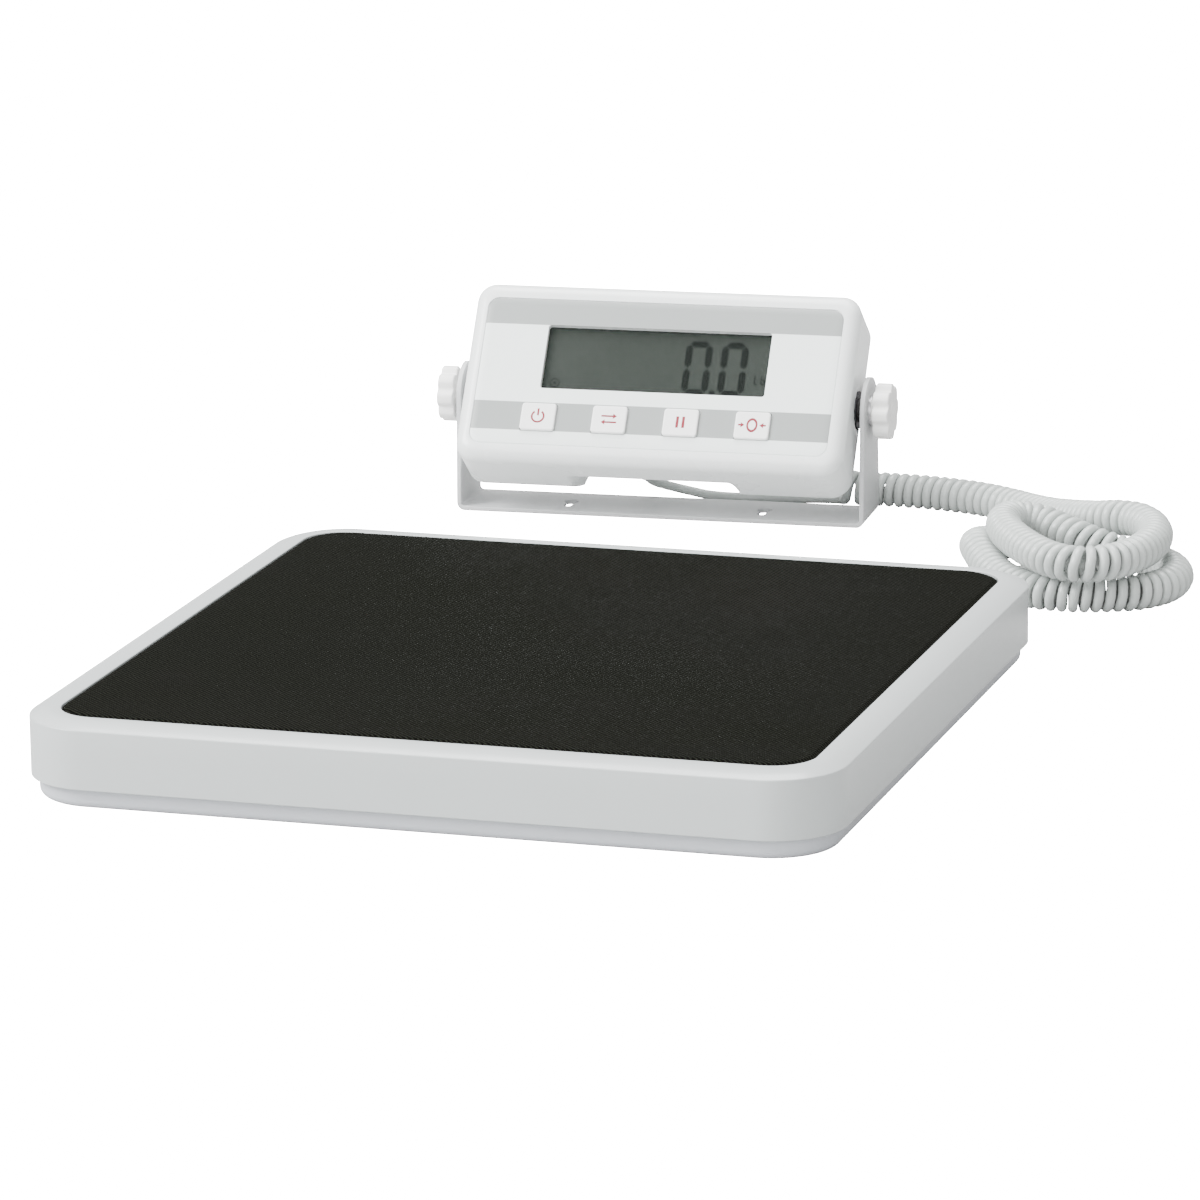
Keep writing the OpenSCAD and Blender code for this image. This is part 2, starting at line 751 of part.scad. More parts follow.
module display_back() {
    color([0.9, 0.91, 0.91]) in_head() difference() {
        union() {
            difference() {
                back_form(0);
                intersection() {
                    back_form(-head_t);
                    face_plate(head_w, head_h, 1, part_y - 1, back_d - head_t + 1);
                }
                face_plate(head_w - 2 * head_t, head_h - 2 * head_t, head_r - head_t,
                    part_y - 1, 1.5);
            }
            battery_box();
            intersection() {
                back_form(0);
                notch_roof(part_y + 0.05, back_y);
            }
            for (p = post_points) {
                face_post(p[0], p[1], post_r, part_y + 0.1, back_d - 1);
            }
        }
        face_plate(bat_in_w, bat_in_h, 1, bat_floor_y, back_d * 3, bat_x, bat_up - face_up);
        face_plate(door_w + 0.6, door_h + 0.6, 0.3, back_y - door_t - 0.05, 4,
            bat_x, bat_up - face_up);
        for (p = post_points) {
            face_post(p[0], p[1], screw_r + 0.2, part_y - 1, back_d + 2);
            face_post(p[0], p[1], screw_head_r + 0.2, back_y - 1.4, 3);
        }
        face_post(out_x, out_up - face_up, gland_neck_r + run_fit, back_y - head_t - 1, head_t + 2);
        side_seats(0.1);
        under_notch();
    }
}

module front_overlay() {
    color([0.88, 0.9, 0.89]) in_head() difference() {
        face_plate(overlay_w, overlay_h, overlay_r, face_y + overlay_sink - overlay_t, overlay_t,
            0, overlay_up);
        face_plate(lcd_w + 2 * drop_fit, lcd_h + 2 * drop_fit, 1, face_y - 1, 3, lcd_x, lcd_up);
        for (k = btn_steps) {
            face_plate(btn_w + 2 * drop_fit, btn_h + 2 * drop_fit, 1, face_y - 1, 3,
                btn_x0 + k * btn_pitch, btn_up);
        }
    }
}

// ---- display, inside ----

module lcd_window() {
    color([0.7, 0.75, 0.72, 0.5]) in_head() {
        face_plate(lcd_w, lcd_h, 1, face_y + 0.1, head_t - 0.1 + 0.05, lcd_x, lcd_up);
        face_plate(lcd_w + 2 * lens_flange, lcd_h + 2 * lens_flange, 1, inner_y, lens_flange_t,
            lcd_x, lcd_up);
    }
}

module lcd_panel() {
    color([0.37, 0.42, 0.38]) in_head()
        face_plate(lcd_w + 2 * lens_flange, lcd_h + 3 * lens_flange, 0.6,
            inner_y + lens_flange_t, lcd_t, lcd_x, lcd_up);
}

module lcd_frame() {
    in_w = lcd_w + 2 * lens_flange + 2 * lcd_frame_gap;
    in_h = lcd_h + 3 * lens_flange + 2 * lcd_frame_gap;
    color([0.15, 0.15, 0.16]) in_head() difference() {
        face_plate(in_w + 2 * lcd_frame_t, in_h + 2 * lcd_frame_t, 1, inner_y, board_y - inner_y,
            lcd_x, lcd_up);
        face_plate(in_w, in_h, 0.8, inner_y - 1, board_y - inner_y + 2, lcd_x, lcd_up);
    }
}

module contact_strips() {
    y0 = inner_y + lens_flange_t + lcd_t;
    color([0.75, 0.55, 0.6]) in_head() for (s = [-1, 1]) {
        face_plate(lcd_w - 4, 2.4, 0.4, y0, board_y - y0, lcd_x, lcd_up + s * lcd_h / 2);
    }
}

module main_board() {
    color([0.08, 0.36, 0.18]) in_head() difference() {
        face_plate(board_w, board_h, 2, board_y, board_t);
        for (p = post_points) {
            face_post(p[0], p[1], post_r + 0.8, board_y - 1, board_t + 2);
        }
    }
}

module board_components() {
    y0 = board_y + board_t;
    edge = -board_w / 2;
    color([0.12, 0.12, 0.13]) in_head() {
        // controller, converter and crystal
        face_plate(12, 12, 0.5, y0, 1.6, edge + 35, 2);
        face_plate(8, 5, 0.4, y0, 1.5, edge + 12, 14);
        face_plate(11, 4.5, 0.8, y0, 3.4, edge + 35, -8);
        // socket of the cord's wires
        face_plate(14, 6, 0.4, y0, 4.6, out_x - 2, out_up);
        // two capacitors
        face_post(edge + 13, -6, 3, y0, 5);
        face_post(edge + 13, -14, 3, y0, 5);
    }
}

module buzzer() {
    color([0.1, 0.1, 0.11]) in_head() difference() {
        face_post(out_x - 10, 16, buzzer_r, board_y + board_t, buzzer_h);
        face_post(out_x - 10, 16, 1, board_y + board_t + buzzer_h / 2, buzzer_h);
    }
}

module tact_switches() {
    color([0.2, 0.2, 0.22]) in_head() for (k = btn_steps) {
        stem_end = inner_y + btn_flange_t + 0.2 + btn_stem;
        top = stem_end + btn_travel + switch_gap;
        face_plate(6, 6, 0.4, top + 0.9, board_y - top - 0.9, btn_x0 + k * btn_pitch, btn_up);
        face_post(btn_x0 + k * btn_pitch, btn_up, 1.7, top, 1);
    }
}

// A button: the cap stands proud of the face, and its flange stops behind the face
module button(k) {
    x = btn_x0 + k * btn_pitch;
    flange_y = inner_y + 0.2;
    color([0.94, 0.95, 0.95]) in_head() {
        face_plate(btn_w, btn_h, 1, face_y - btn_proud, flange_y - face_y + btn_proud + 0.1,
            x, btn_up);
        face_plate(btn_w + 2 * btn_flange, btn_h + 2 * btn_flange, 1, flange_y, btn_flange_t,
            x, btn_up);
        face_post(x, btn_up, btn_stem_r, flange_y + btn_flange_t - 0.1, btn_stem + 0.1);
    }
}

// ---- batteries ----

module batteries() {
    color([0.3, 0.42, 0.5]) in_head() for (k = [0 : cell_n - 1]) {
        flip = k % 2 == 0 ? 1 : -1;
        translate([bat_x + (k - (cell_n - 1) / 2) * bat_pitch, bat_floor_y + cell_r + 0.2, bat_up])
            rotate([0, flip < 0 ? 180 : 0, 0]) {
                translate([0, 0, -cell_l / 2]) cylinder(r = cell_r, h = cell_l - nub_h);
                translate([0, 0, cell_l / 2 - nub_h - 0.05])
                    cylinder(r = nub_r, h = nub_h + 0.05);
            }
    }
}

// Nickel plates at both ends of the box; a low cone spring meets each flat end
module battery_contacts() {
    y = bat_floor_y + cell_r + 0.2;
    color([0.8, 0.8, 0.78]) in_head() for (k = [0 : cell_n - 1]) {
        x = bat_x + (k - (cell_n - 1) / 2) * bat_pitch;
        flip = k % 2 == 0 ? 1 : -1;
        for (s = [-1, 1]) {
            translate([x, y, bat_up + s * (bat_in_h - contact_t) / 2])
                cube([contact_w, contact_h, contact_t], center = true);
        }
        translate([x, y, bat_up - flip * (bat_in_h / 2 - contact_t)])
            rotate([0, flip > 0 ? 0 : 180, 0])
                cylinder(r1 = spring_root_r, r2 = spring_tip_r,
                    h = bat_in_h / 2 - contact_t - cell_l / 2);
    }
}

// The door turns on its half-round upper edge and latches at its lower edge
module battery_door() {
    color([0.89, 0.9, 0.9]) in_head() {
        translate([bat_x - door_w / 2, back_y - door_t, bat_up - door_h / 2])
            cube([door_w, door_t, door_h - door_t / 2]);
        translate([bat_x - door_w / 2, door_axis_y, door_axis_up])
            rotate([0, 90, 0]) cylinder(r = door_t / 2, h = door_w);
        for (k = [1 : grip_ribs]) {
            translate([bat_x - grip_w / 2, back_y - 0.1, bat_up - door_h / 2 + grip_pitch * (k + 1)])
                cube([grip_w, grip_proud + 0.1, grip_t]);
        }
    }
}

module shell_screws() {
    color([0.7, 0.7, 0.72]) in_head() for (p = post_points) {
        face_post(p[0], p[1], screw_head_r, back_y - 1.4, screw_head_t);
        face_post(p[0], p[1], screw_r, back_y - 1 - shell_screw_l, shell_screw_l);
    }
}

module display_cord_gland() {
    color([0.78, 0.8, 0.79]) in_head() translate([out_x, back_y, out_up])
        rotate([-90, 0, 0]) strain_relief(head_t, out_l);
}

// ---- pivot hardware ----

module pivot_insert(s) {
    color([0.3, 0.3, 0.31]) in_head() difference() {
        union() {
            axle(s, insert_r, insert_end - insert_in, insert_in);
            intersection() {
                axle(s, insert_flange_r, head_w / 2 - head_t - 0.1 - insert_flange_t,
                    insert_flange_t);
                face_plate(head_w, head_h, 1, face_y, front_d - 0.1);
            }
        }
        axle(s, stud_r + run_fit, insert_end - insert_in - 1, insert_in + 2);
    }
}

module friction_washer(s) {
    color([0.07, 0.07, 0.07]) in_head() difference() {
        axle(s, friction_r, insert_end, brk_in - insert_end - 0.05);
        axle(s, stud_r + 0.3, insert_end - 1, 8);
    }
}

module thrust_washer(s) {
    color([0.68, 0.68, 0.66]) in_stand() translate([0, 0, pivot_z]) difference() {
        axle(s, thrust_r, brk_w / 2 + knob_seat, thrust_t);
        axle(s, stud_r + 0.2, brk_w / 2 - 1, thrust_t + 3);
    }
}

// A hub and a ring of round lobes
module knob(s) {
    hub_x = brk_w / 2 + knob_seat + thrust_t;
    lobe_r = knob_r * 0.3;
    color([0.93, 0.93, 0.92]) in_stand() translate([0, 0, pivot_z]) difference() {
        union() {
            axle(s, thrust_r - 0.8, hub_x, hub_gap + 0.5);
            axle(s, knob_r - lobe_r * 0.6, hub_x + hub_gap, knob_t);
            for (k = [0 : knob_lobes - 1]) {
                rotate([360 * k / knob_lobes, 0, 0]) translate([0, 0, knob_r - lobe_r])
                    axle(s, lobe_r, hub_x + hub_gap, knob_t);
            }
        }
        axle(s, stud_r, hub_x - 1, stud_hole);
    }
}

module knob_stud(s) {
    inner = insert_end - insert_in + 1;
    color([0.6, 0.6, 0.62]) in_stand() translate([0, 0, pivot_z])
        axle(s, stud_r, inner, brk_w / 2 + knob_seat + thrust_t + stud_in_knob - inner);
}

// ---- cord ----

module cord_lead() {
    color([0.78, 0.8, 0.79])
        tube(LEAD, cable_d / 2, 8, from_head([0, 1, 0]) - from_head([0, 0, 0]), [1, 0, 0]);
}

module cord_curly() {
    color([0.8, 0.82, 0.81]) tube(CURL, curl_d / 2, 10, [1, 0, 0], [1, 0, 0]);
}

module cord_tail() {
    color([0.78, 0.8, 0.79]) tube(TAIL, cable_d / 2, 8, [1, 0, 0], [0, -1, 0]);
}

platform_cover();
platform_mat();
stiffener_plate();
base_tray();
load_cell_seats();
load_cell(-1, -1);  // load_cell_front_left
load_cell(1, -1);  // load_cell_front_right
load_cell(-1, 1);  // load_cell_back_left
load_cell(1, 1);  // load_cell_back_right
foot(-1, -1);  // foot_front_left
foot(1, -1);  // foot_front_right
foot(-1, 1);  // foot_back_left
foot(1, 1);  // foot_back_right
foot_pad(-1, -1);  // pad_front_left
foot_pad(1, -1);  // pad_front_right
foot_pad(-1, 1);  // pad_back_left
foot_pad(1, 1);  // pad_back_right
base_screws();
junction_board();
board_standoffs();
sensor_wires();
base_cord_gland();
bracket();
display_bezel();
display_back();
front_overlay();
lcd_window();
lcd_panel();
lcd_frame();
contact_strips();
main_board();
board_components();
buzzer();
tact_switches();
button(-1.5);  // button_power
button(-0.5);  // button_units
button(0.5);  // button_hold
button(1.5);  // button_zero
battery_door();
batteries();
battery_contacts();
shell_screws();
display_cord_gland();
pivot_insert(-1);  // pivot_insert_left
pivot_insert(1);  // pivot_insert_right
friction_washer(-1);  // friction_washer_left
friction_washer(1);  // friction_washer_right
thrust_washer(-1);  // thrust_washer_left
thrust_washer(1);  // thrust_washer_right
knob(-1);  // knob_left
knob(1);  // knob_right
knob_stud(-1);  // knob_stud_left
knob_stud(1);  // knob_stud_right
cord_lead();
cord_curly();
cord_tail();
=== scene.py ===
# %% [markdown]
# # A weighing scale for small animals
#
# A low square platform with a black ribbed mat stands on the floor. A curly cord joins it to a
# display, which tilts in a U-shaped steel stand between two lobed knobs. The engineering model
# gives every body its place, so each piece made here rides on one of those bodies and stays
# inside the space that its solid holds. Lengths in this lesson are millimetres, and one function
# turns them into Blender's metres.

# %% Load the frame
import json
from math import radians

import bmesh
import bpy
import numpy as np
from mathutils import Matrix


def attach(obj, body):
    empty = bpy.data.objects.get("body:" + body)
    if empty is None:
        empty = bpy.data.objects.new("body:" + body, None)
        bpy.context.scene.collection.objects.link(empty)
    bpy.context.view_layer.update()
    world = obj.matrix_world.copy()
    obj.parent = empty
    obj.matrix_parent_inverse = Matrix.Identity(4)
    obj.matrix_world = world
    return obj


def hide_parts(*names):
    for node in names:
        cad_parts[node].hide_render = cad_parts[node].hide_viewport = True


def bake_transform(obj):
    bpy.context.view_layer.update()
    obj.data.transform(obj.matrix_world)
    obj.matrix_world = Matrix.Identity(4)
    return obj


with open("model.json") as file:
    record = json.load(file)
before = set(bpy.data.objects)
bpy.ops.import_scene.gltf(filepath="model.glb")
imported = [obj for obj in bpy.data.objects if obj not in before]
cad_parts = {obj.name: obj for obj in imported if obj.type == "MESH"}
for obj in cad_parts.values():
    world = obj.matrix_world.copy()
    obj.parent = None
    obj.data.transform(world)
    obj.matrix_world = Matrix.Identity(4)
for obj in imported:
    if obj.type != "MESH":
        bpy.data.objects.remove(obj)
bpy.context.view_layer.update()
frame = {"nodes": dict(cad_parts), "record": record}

MM = 0.001
NODES = frame["nodes"]

# %% [markdown]
# ## Camera
#
# A long lens far away keeps parallel edges nearly parallel, as in a catalogue picture. The camera
# is built from three unit vectors: where it looks, what is on its right, and what is below. A
# small roll turns the last two about the first. Building the matrix from vectors was chosen over
# a tracking constraint because it holds the roll exactly.

# %% Place the camera
CAMERA_AT = np.array([0.8383, -2.7380, 0.6932])
AZIMUTH, ELEVATION, ROLL = radians(17.614), radians(14.347), radians(0.785)
LENS = 206.46


def camera_matrix(azimuth, elevation, roll):
    """Columns right, up and back: forward = (-sin a cos e, cos a cos e, -sin e), and the roll
    turns right and down about it by right' = right cos r + down sin r."""
    forward = np.array([-np.sin(azimuth) * np.cos(elevation),
                        np.cos(azimuth) * np.cos(elevation), -np.sin(elevation)])
    right = np.array([np.cos(azimuth), np.sin(azimuth), 0.0])
    down = np.cross(forward, right)
    turned_right = np.cos(roll) * right + np.sin(roll) * down
    turned_down = -np.sin(roll) * right + np.cos(roll) * down
    return np.column_stack([turned_right, -turned_down, -forward])


camera = bpy.data.objects.new("camera", bpy.data.cameras.new("camera"))
camera.data.lens = LENS
camera.data.sensor_width = 36.0
camera.data.clip_end = 20.0
camera.matrix_world = (Matrix.Translation(CAMERA_AT)
                       @ Matrix(camera_matrix(AZIMUTH, ELEVATION, ROLL).tolist()).to_4x4())
bpy.context.scene.collection.objects.link(camera)
bpy.context.scene.camera = camera
print("camera lens", LENS, "mm at", CAMERA_AT)

# %% [markdown]
# ## Grain shared by the finishes
#
# Moulded plastic, paint and rubber are never one flat colour: the tint drifts over a few
# centimetres and a fine grain breaks up the gloss. One node group holds both, and each material
# sets its own sizes on it. The group puts out only a colour, a roughness and a height, so the
# shader itself stays in the material.

# %% Node group helpers
KINDS = {"colour": "NodeSocketColor", "number": "NodeSocketFloat", "vector": "NodeSocketVector"}


def new_group(name, inputs, outputs):
    """An empty shader node group. Rows of inputs are (label, kind, value), of outputs (label,
    kind)."""
    tree = bpy.data.node_groups.new(name, "ShaderNodeTree")
    for label, kind, value in inputs:
        socket = tree.interface.new_socket(name=label, in_out="INPUT", socket_type=KINDS[kind])
        socket.default_value = value
    for label, kind in outputs:
        tree.interface.new_socket(name=label, in_out="OUTPUT", socket_type=KINDS[kind])
    return tree, tree.nodes.new("NodeGroupInput"), tree.nodes.new("NodeGroupOutput")


def maths(tree, operation, first, second, third=None):
    """A Math node of two or three values or sockets; gives its output socket."""
    node = tree.nodes.new("ShaderNodeMath")
    node.operation = operation
    for socket, value in zip(node.inputs, (first, second, third)):
        if isinstance(value, bpy.types.NodeSocket):
            tree.links.new(value, socket)
        elif value is not None:
            socket.default_value = value
    return node.outputs[0]


def noise(tree, vector, scale, detail=2.0):
    """A noise texture's value, from 0 to 1, with its scale as a number or a socket."""
    node = tree.nodes.new("ShaderNodeTexNoise")
    tree.links.new(vector, node.inputs["Vector"])
    node.inputs["Detail"].default_value = detail
    if isinstance(scale, bpy.types.NodeSocket):
        tree.links.new(scale, node.inputs["Scale"])
    else:
        node.inputs["Scale"].default_value = scale
    return node.outputs["Fac"]


def scaled_colour(tree, colour, factor):
    """A colour times a number."""
    node = tree.nodes.new("ShaderNodeVectorMath")
    node.operation = "SCALE"
    tree.links.new(colour, node.inputs[0])
    tree.links.new(factor, node.inputs["Scale"])
    return node.outputs[0]


# %% The grain group
grain_tree, grain_in, grain_out = new_group(
    "moulded_grain",
    [("Colour", "colour", (0.8, 0.8, 0.8, 1.0)), ("Tint drift", "number", 0.03),
     ("Patches per metre", "number", 25.0), ("Grains per metre", "number", 1800.0),
     ("Roughness", "number", 0.4), ("Roughness drift", "number", 0.1)],
    [("Colour", "colour"), ("Roughness", "number"), ("Height", "number")])
place = grain_tree.nodes.new("ShaderNodeTexCoord").outputs["Object"]
patches = noise(grain_tree, place, grain_in.outputs["Patches per metre"], 3.0)
grains = noise(grain_tree, place, grain_in.outputs["Grains per metre"], 2.0)
drift = maths(grain_tree, "SUBTRACT", patches, 0.5)
tint = maths(grain_tree, "MULTIPLY_ADD", drift, grain_in.outputs["Tint drift"], 1.0)
grain_tree.links.new(scaled_colour(grain_tree, grain_in.outputs["Colour"], tint),
                     grain_out.inputs["Colour"])
grain_tree.links.new(maths(grain_tree, "MULTIPLY_ADD", drift, grain_in.outputs["Roughness drift"],
                           grain_in.outputs["Roughness"]), grain_out.inputs["Roughness"])
grain_tree.links.new(grains, grain_out.inputs["Height"])
print("group", grain_tree.name, "with", len(grain_tree.nodes), "nodes")

# %% A finish made from the group


def new_material(name):
    """A material with only its Principled shader and output; gives it, its tree and shader."""
    material = bpy.data.materials.new(name)
    material.use_nodes = True
    return material, material.node_tree, material.node_tree.nodes["Principled BSDF"]


def add_group(tree, group, values):
    """Places a node group and sets its named inputs."""
    node = tree.nodes.new("ShaderNodeGroup")
    node.node_tree = group
    for label, value in values.items():
        node.inputs[label].default_value = value
    return node


def finish(name, colour, roughness, drift=0.06, patches=25.0, grains=1800.0, rough_drift=0.15,
           depth=0.00003, **shader_values):
    """A material whose tint, gloss and height come from the grain group. The height is in units
    of depth metres, and a depth of 0 leaves it out. The other values are set on the shader's own
    sockets, with underscores for spaces. It is kept in FINISHES by its name."""
    material, tree, shader = new_material(name)
    group = add_group(tree, grain_tree, {
        "Colour": (*colour, 1.0), "Tint drift": drift, "Patches per metre": patches,
        "Grains per metre": grains, "Roughness": roughness, "Roughness drift": rough_drift})
    group.name = "grain"
    tree.links.new(group.outputs["Colour"], shader.inputs["Base Color"])
    tree.links.new(group.outputs["Roughness"], shader.inputs["Roughness"])
    if depth:
        bump = tree.nodes.new("ShaderNodeBump")
        bump.name = "bump"
        bump.inputs["Distance"].default_value = depth
        bump.inputs["Strength"].default_value = 1.0
        tree.links.new(group.outputs["Height"], bump.inputs["Height"])
        tree.links.new(bump.outputs["Normal"], shader.inputs["Normal"])
    for label, value in shader_values.items():
        shader.inputs[label.replace("_", " ")].default_value = value
    FINISHES[name] = material
    return material


FINISHES = {}
COVER_WHITE = finish("cover_plastic", (0.42, 0.445, 0.445), 0.24, drift=0.03, depth=0.00002)
TRAY_GREY = finish("tray_plastic", (0.44, 0.46, 0.49), 0.40, drift=0.04, depth=0.00003)
HOUSING_WHITE = finish("housing_plastic", (0.80, 0.83, 0.825), 0.26, drift=0.02, depth=0.000015,
                       Coat_Weight=0.2)
KNOB_WHITE = finish("knob_plastic", (0.86, 0.86, 0.84), 0.40, drift=0.03, depth=0.00003)
BUTTON_WHITE = finish("button_plastic", (0.90, 0.91, 0.90), 0.33, drift=0.02, depth=0.000015)
finish("foot_rubber", (0.03, 0.03, 0.03), 0.7, drift=0.4, grains=900.0, depth=0.00008)
finish("washer_rubber", (0.02, 0.02, 0.02), 0.55, drift=0.3, grains=1200.0)
finish("black_plastic", (0.04, 0.04, 0.045), 0.5, drift=0.3, grains=2500.0)
finish("zinc_steel", (0.62, 0.63, 0.64), 0.35, drift=0.25, patches=60.0, rough_drift=0.5,
        Metallic=1.0)
finish("screw_steel", (0.66, 0.66, 0.67), 0.28, drift=0.15, patches=200.0, Metallic=1.0)
finish("board_green", (0.03, 0.20, 0.08), 0.3, drift=0.3, patches=120.0)
finish("component_black", (0.035, 0.035, 0.04), 0.45, drift=0.4, patches=150.0)
finish("wire_red", (0.55, 0.05, 0.03), 0.35, drift=0.2, patches=90.0)
finish("nylon_white", (0.80, 0.80, 0.75), 0.45, drift=0.1, patches=90.0, Subsurface_Weight=0.1)
finish("strip_rubber", (0.55, 0.38, 0.42), 0.6, drift=0.5, patches=400.0)
finish("contact_nickel", (0.72, 0.71, 0.67), 0.22, drift=0.2, patches=150.0, Metallic=1.0)
CORD_GREY = finish("cord_grey", (0.43, 0.46, 0.445), 0.26, drift=0.08, patches=70.0,
                   grains=2500.0, depth=0.00002)
print("finishes:", len(bpy.data.materials))

# %% [markdown]
# ## Meshes from arrays
#
# Every new surface here is a grid of points worked out with numpy. A ring of points goes round
# the piece, and the rings are stacked along it. One function joins neighbouring rings with
# four-sided faces and closes the two ends, and another puts the arrays into a mesh, shades it
# smooth and keeps only the real edges sharp.

# %% Arrays to mesh


def make_mesh(name, points, faces, material, sharp=38.0):
    """A mesh from points in millimetres and a list of corner lists, with edges sharper than the
    given angle kept sharp, and its faces turned outwards."""
    mesh = bpy.data.meshes.new(name)
    mesh.from_pydata((np.asarray(points) * MM).tolist(), [], faces)
    shape = bmesh.new()
    shape.from_mesh(mesh)
    bmesh.ops.recalc_face_normals(shape, faces=shape.faces)
    shape.to_mesh(mesh)
    shape.free()
    mesh.polygons.foreach_set("use_smooth", np.ones(len(mesh.polygons), dtype=bool))
    mesh.set_sharp_from_angle(angle=radians(sharp))
    mesh.materials.append(material)
    return mesh


def add_piece(name, mesh, body, slot, *replaced):
    """An object at the origin that rides on a body, unless it is None, and may stand for CAD
    nodes."""
    piece = bpy.data.objects.new(name, mesh)
    bpy.context.scene.collection.objects.link(piece)
    if body:
        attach(piece, body)
    if replaced:
        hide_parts(*replaced)
    return piece


def build(name, shape, material, body, slot, *replaced, sharp=38.0):
    """A piece made from a (points, faces) shape, its mesh under the same name."""
    return add_piece(name, make_mesh(name, *shape, material, sharp), body, slot, *replaced)


def loft(rings, close=True):
    """Points and faces of stacked rings, an array of (rings, points, 3). Point k of ring i is
    joined to point k+1 and to the same points of ring i+1, and a point at the middle of the
    first and of the last ring closes each end."""
    count, around = rings.shape[:2]
    points = rings.reshape(-1, 3)
    i, k = np.meshgrid(np.arange(count - 1), np.arange(around), indexing="ij")
    after = (k + 1) % around
    quads = np.stack([i * around + k, i * around + after,
                      (i + 1) * around + after, (i + 1) * around + k], axis=-1)
    faces = quads.reshape(-1, 4).tolist()
    if close:
        ends = np.array([rings[0].mean(axis=0), rings[-1].mean(axis=0)])
        points = np.vstack([points, ends])
        first = np.arange(around)
        second = (first + 1) % around
        last = (count - 1) * around
        middle = np.full(around, count * around)
        faces += np.stack([second, first, middle], axis=-1).tolist()
        faces += np.stack([last + first, last + second, middle + 1], axis=-1).tolist()
    return points, faces


def merged(shapes):
    """Several (points, faces) shapes as one."""
    points, faces, start = [], [], 0
    for shape_points, shape_faces in shapes:
        points.append(np.asarray(shape_points))
        faces += [[start + corner for corner in face] for face in shape_faces]
        start += len(shape_points)
    return np.vstack(points), faces


# %% Rings and turned shapes


def round_ring(width, height, radius, steps=12, across=(), up=()):
    """A rectangle with round corners as (n, 2) points, anticlockwise from the right. Each corner
    is a quarter circle of the given steps; across and up are places of extra points on the
    horizontal and on the vertical sides."""
    radius = max(radius, 0.05)
    quarter = np.radians(np.linspace(0.0, 90.0, steps + 1))
    across, up = np.sort(np.asarray(across, float)), np.sort(np.asarray(up, float))
    half_w, half_h = width / 2, height / 2
    parts = []
    for k, (sx, sy) in enumerate([(1, 1), (-1, 1), (-1, -1), (1, -1)]):
        angle = quarter + k * np.pi / 2
        parts.append(np.column_stack([sx * (half_w - radius) + radius * np.cos(angle),
                                      sy * (half_h - radius) + radius * np.sin(angle)]))
        side = [np.column_stack([across[::-1], np.full(len(across), half_h)]),
                np.column_stack([np.full(len(up), -half_w), up[::-1]]),
                np.column_stack([across, np.full(len(across), -half_h)]),
                np.column_stack([np.full(len(up), half_w), up])][k]
        parts.append(side)
    return np.vstack(parts)


def inset_rings(width, height, radius, profile, **extra):
    """Rings of a rounded rectangle for a profile of (inset, level) rows: each ring is the
    outline drawn in by its inset, at its level on the third axis."""
    rings = []
    for inset, level in profile:
        outline = round_ring(width - 2 * inset, height - 2 * inset, radius - inset, **extra)
        rings.append(np.column_stack([outline, np.full(len(outline), level)]))
    return np.array(rings)


def turned(profile, steps=48):
    """Rings of a turned shape on the Z axis, for a profile of (radius, level) rows."""
    angle = np.linspace(0.0, 2 * np.pi, steps, endpoint=False)
    profile = np.asarray(profile, float)
    return np.stack([profile[:, :1] * np.cos(angle), profile[:, :1] * np.sin(angle),
                     np.repeat(profile[:, 1:], steps, axis=1)], axis=-1)


def arc(centre, radius, start, end, steps=5):
    """Points of a circle's arc between two angles in degrees, as (steps, 2)."""
    angle = np.radians(np.linspace(start, end, steps))
    return np.column_stack([centre[0] + radius * np.cos(angle),
                            centre[1] + radius * np.sin(angle)])


# %% [markdown]
# ## Where things stand
#
# The frame's middle is on the floor under the display's stand. The stand is turned a little, and
# the display leans back about the pivot between the stand's arms. Three functions carry points
# from a drawing of the platform, the stand or the display to their places, so that each piece can
# be drawn upright and square.

# %% Places of the platform, the stand and the display
PLATFORM = np.array([57.0, -347.0, 0.0])
STAND_TURN, LEAN, PIVOT_Z = radians(3.5), radians(36.6), 47.5


def on_platform(points):
    """Moves points from the platform's middle to the frame."""
    return np.asarray(points, float) + PLATFORM


def on_stand(points):
    """Turns points about the vertical: x' = x cos t - y sin t, y' = x sin t + y cos t."""
    x, y, z = np.moveaxis(np.asarray(points, float), -1, 0)
    return np.stack([x * np.cos(STAND_TURN) - y * np.sin(STAND_TURN),
                     x * np.sin(STAND_TURN) + y * np.cos(STAND_TURN), z], axis=-1)


def on_display(points):
    """Leans points back about the pivot, y' = y cos l + z sin l and z' = z cos l - y sin l, lifts
    them to the pivot's height and turns them with the stand."""
    x, y, z = np.moveaxis(np.asarray(points, float), -1, 0)
    leant = np.stack([x, y * np.cos(LEAN) + z * np.sin(LEAN),
                      z * np.cos(LEAN) - y * np.sin(LEAN) + PIVOT_Z], axis=-1)
    return on_stand(leant)


def across_display(rings):
    """Turns rings drawn in x, up and depth into the display's x, depth and up."""
    return rings[..., [0, 2, 1]]


# %% [markdown]
# ## The curly cord
#
# A curly cord is one cable wound as a spring, with a straight stretch at each end. Its middle
# line is a smooth curve through a few points, and the cable goes round that line at a fixed
# radius, c + r (cos a n + sin a b), where n and b are square to the line and the angle a grows
# with the length. The angle starts and stops slowly, so the cable runs straight into and out of
# the spring, along its underside. Working the turns out gives real gaps and shadows between them,
# which a bump on one thick tube never shows.

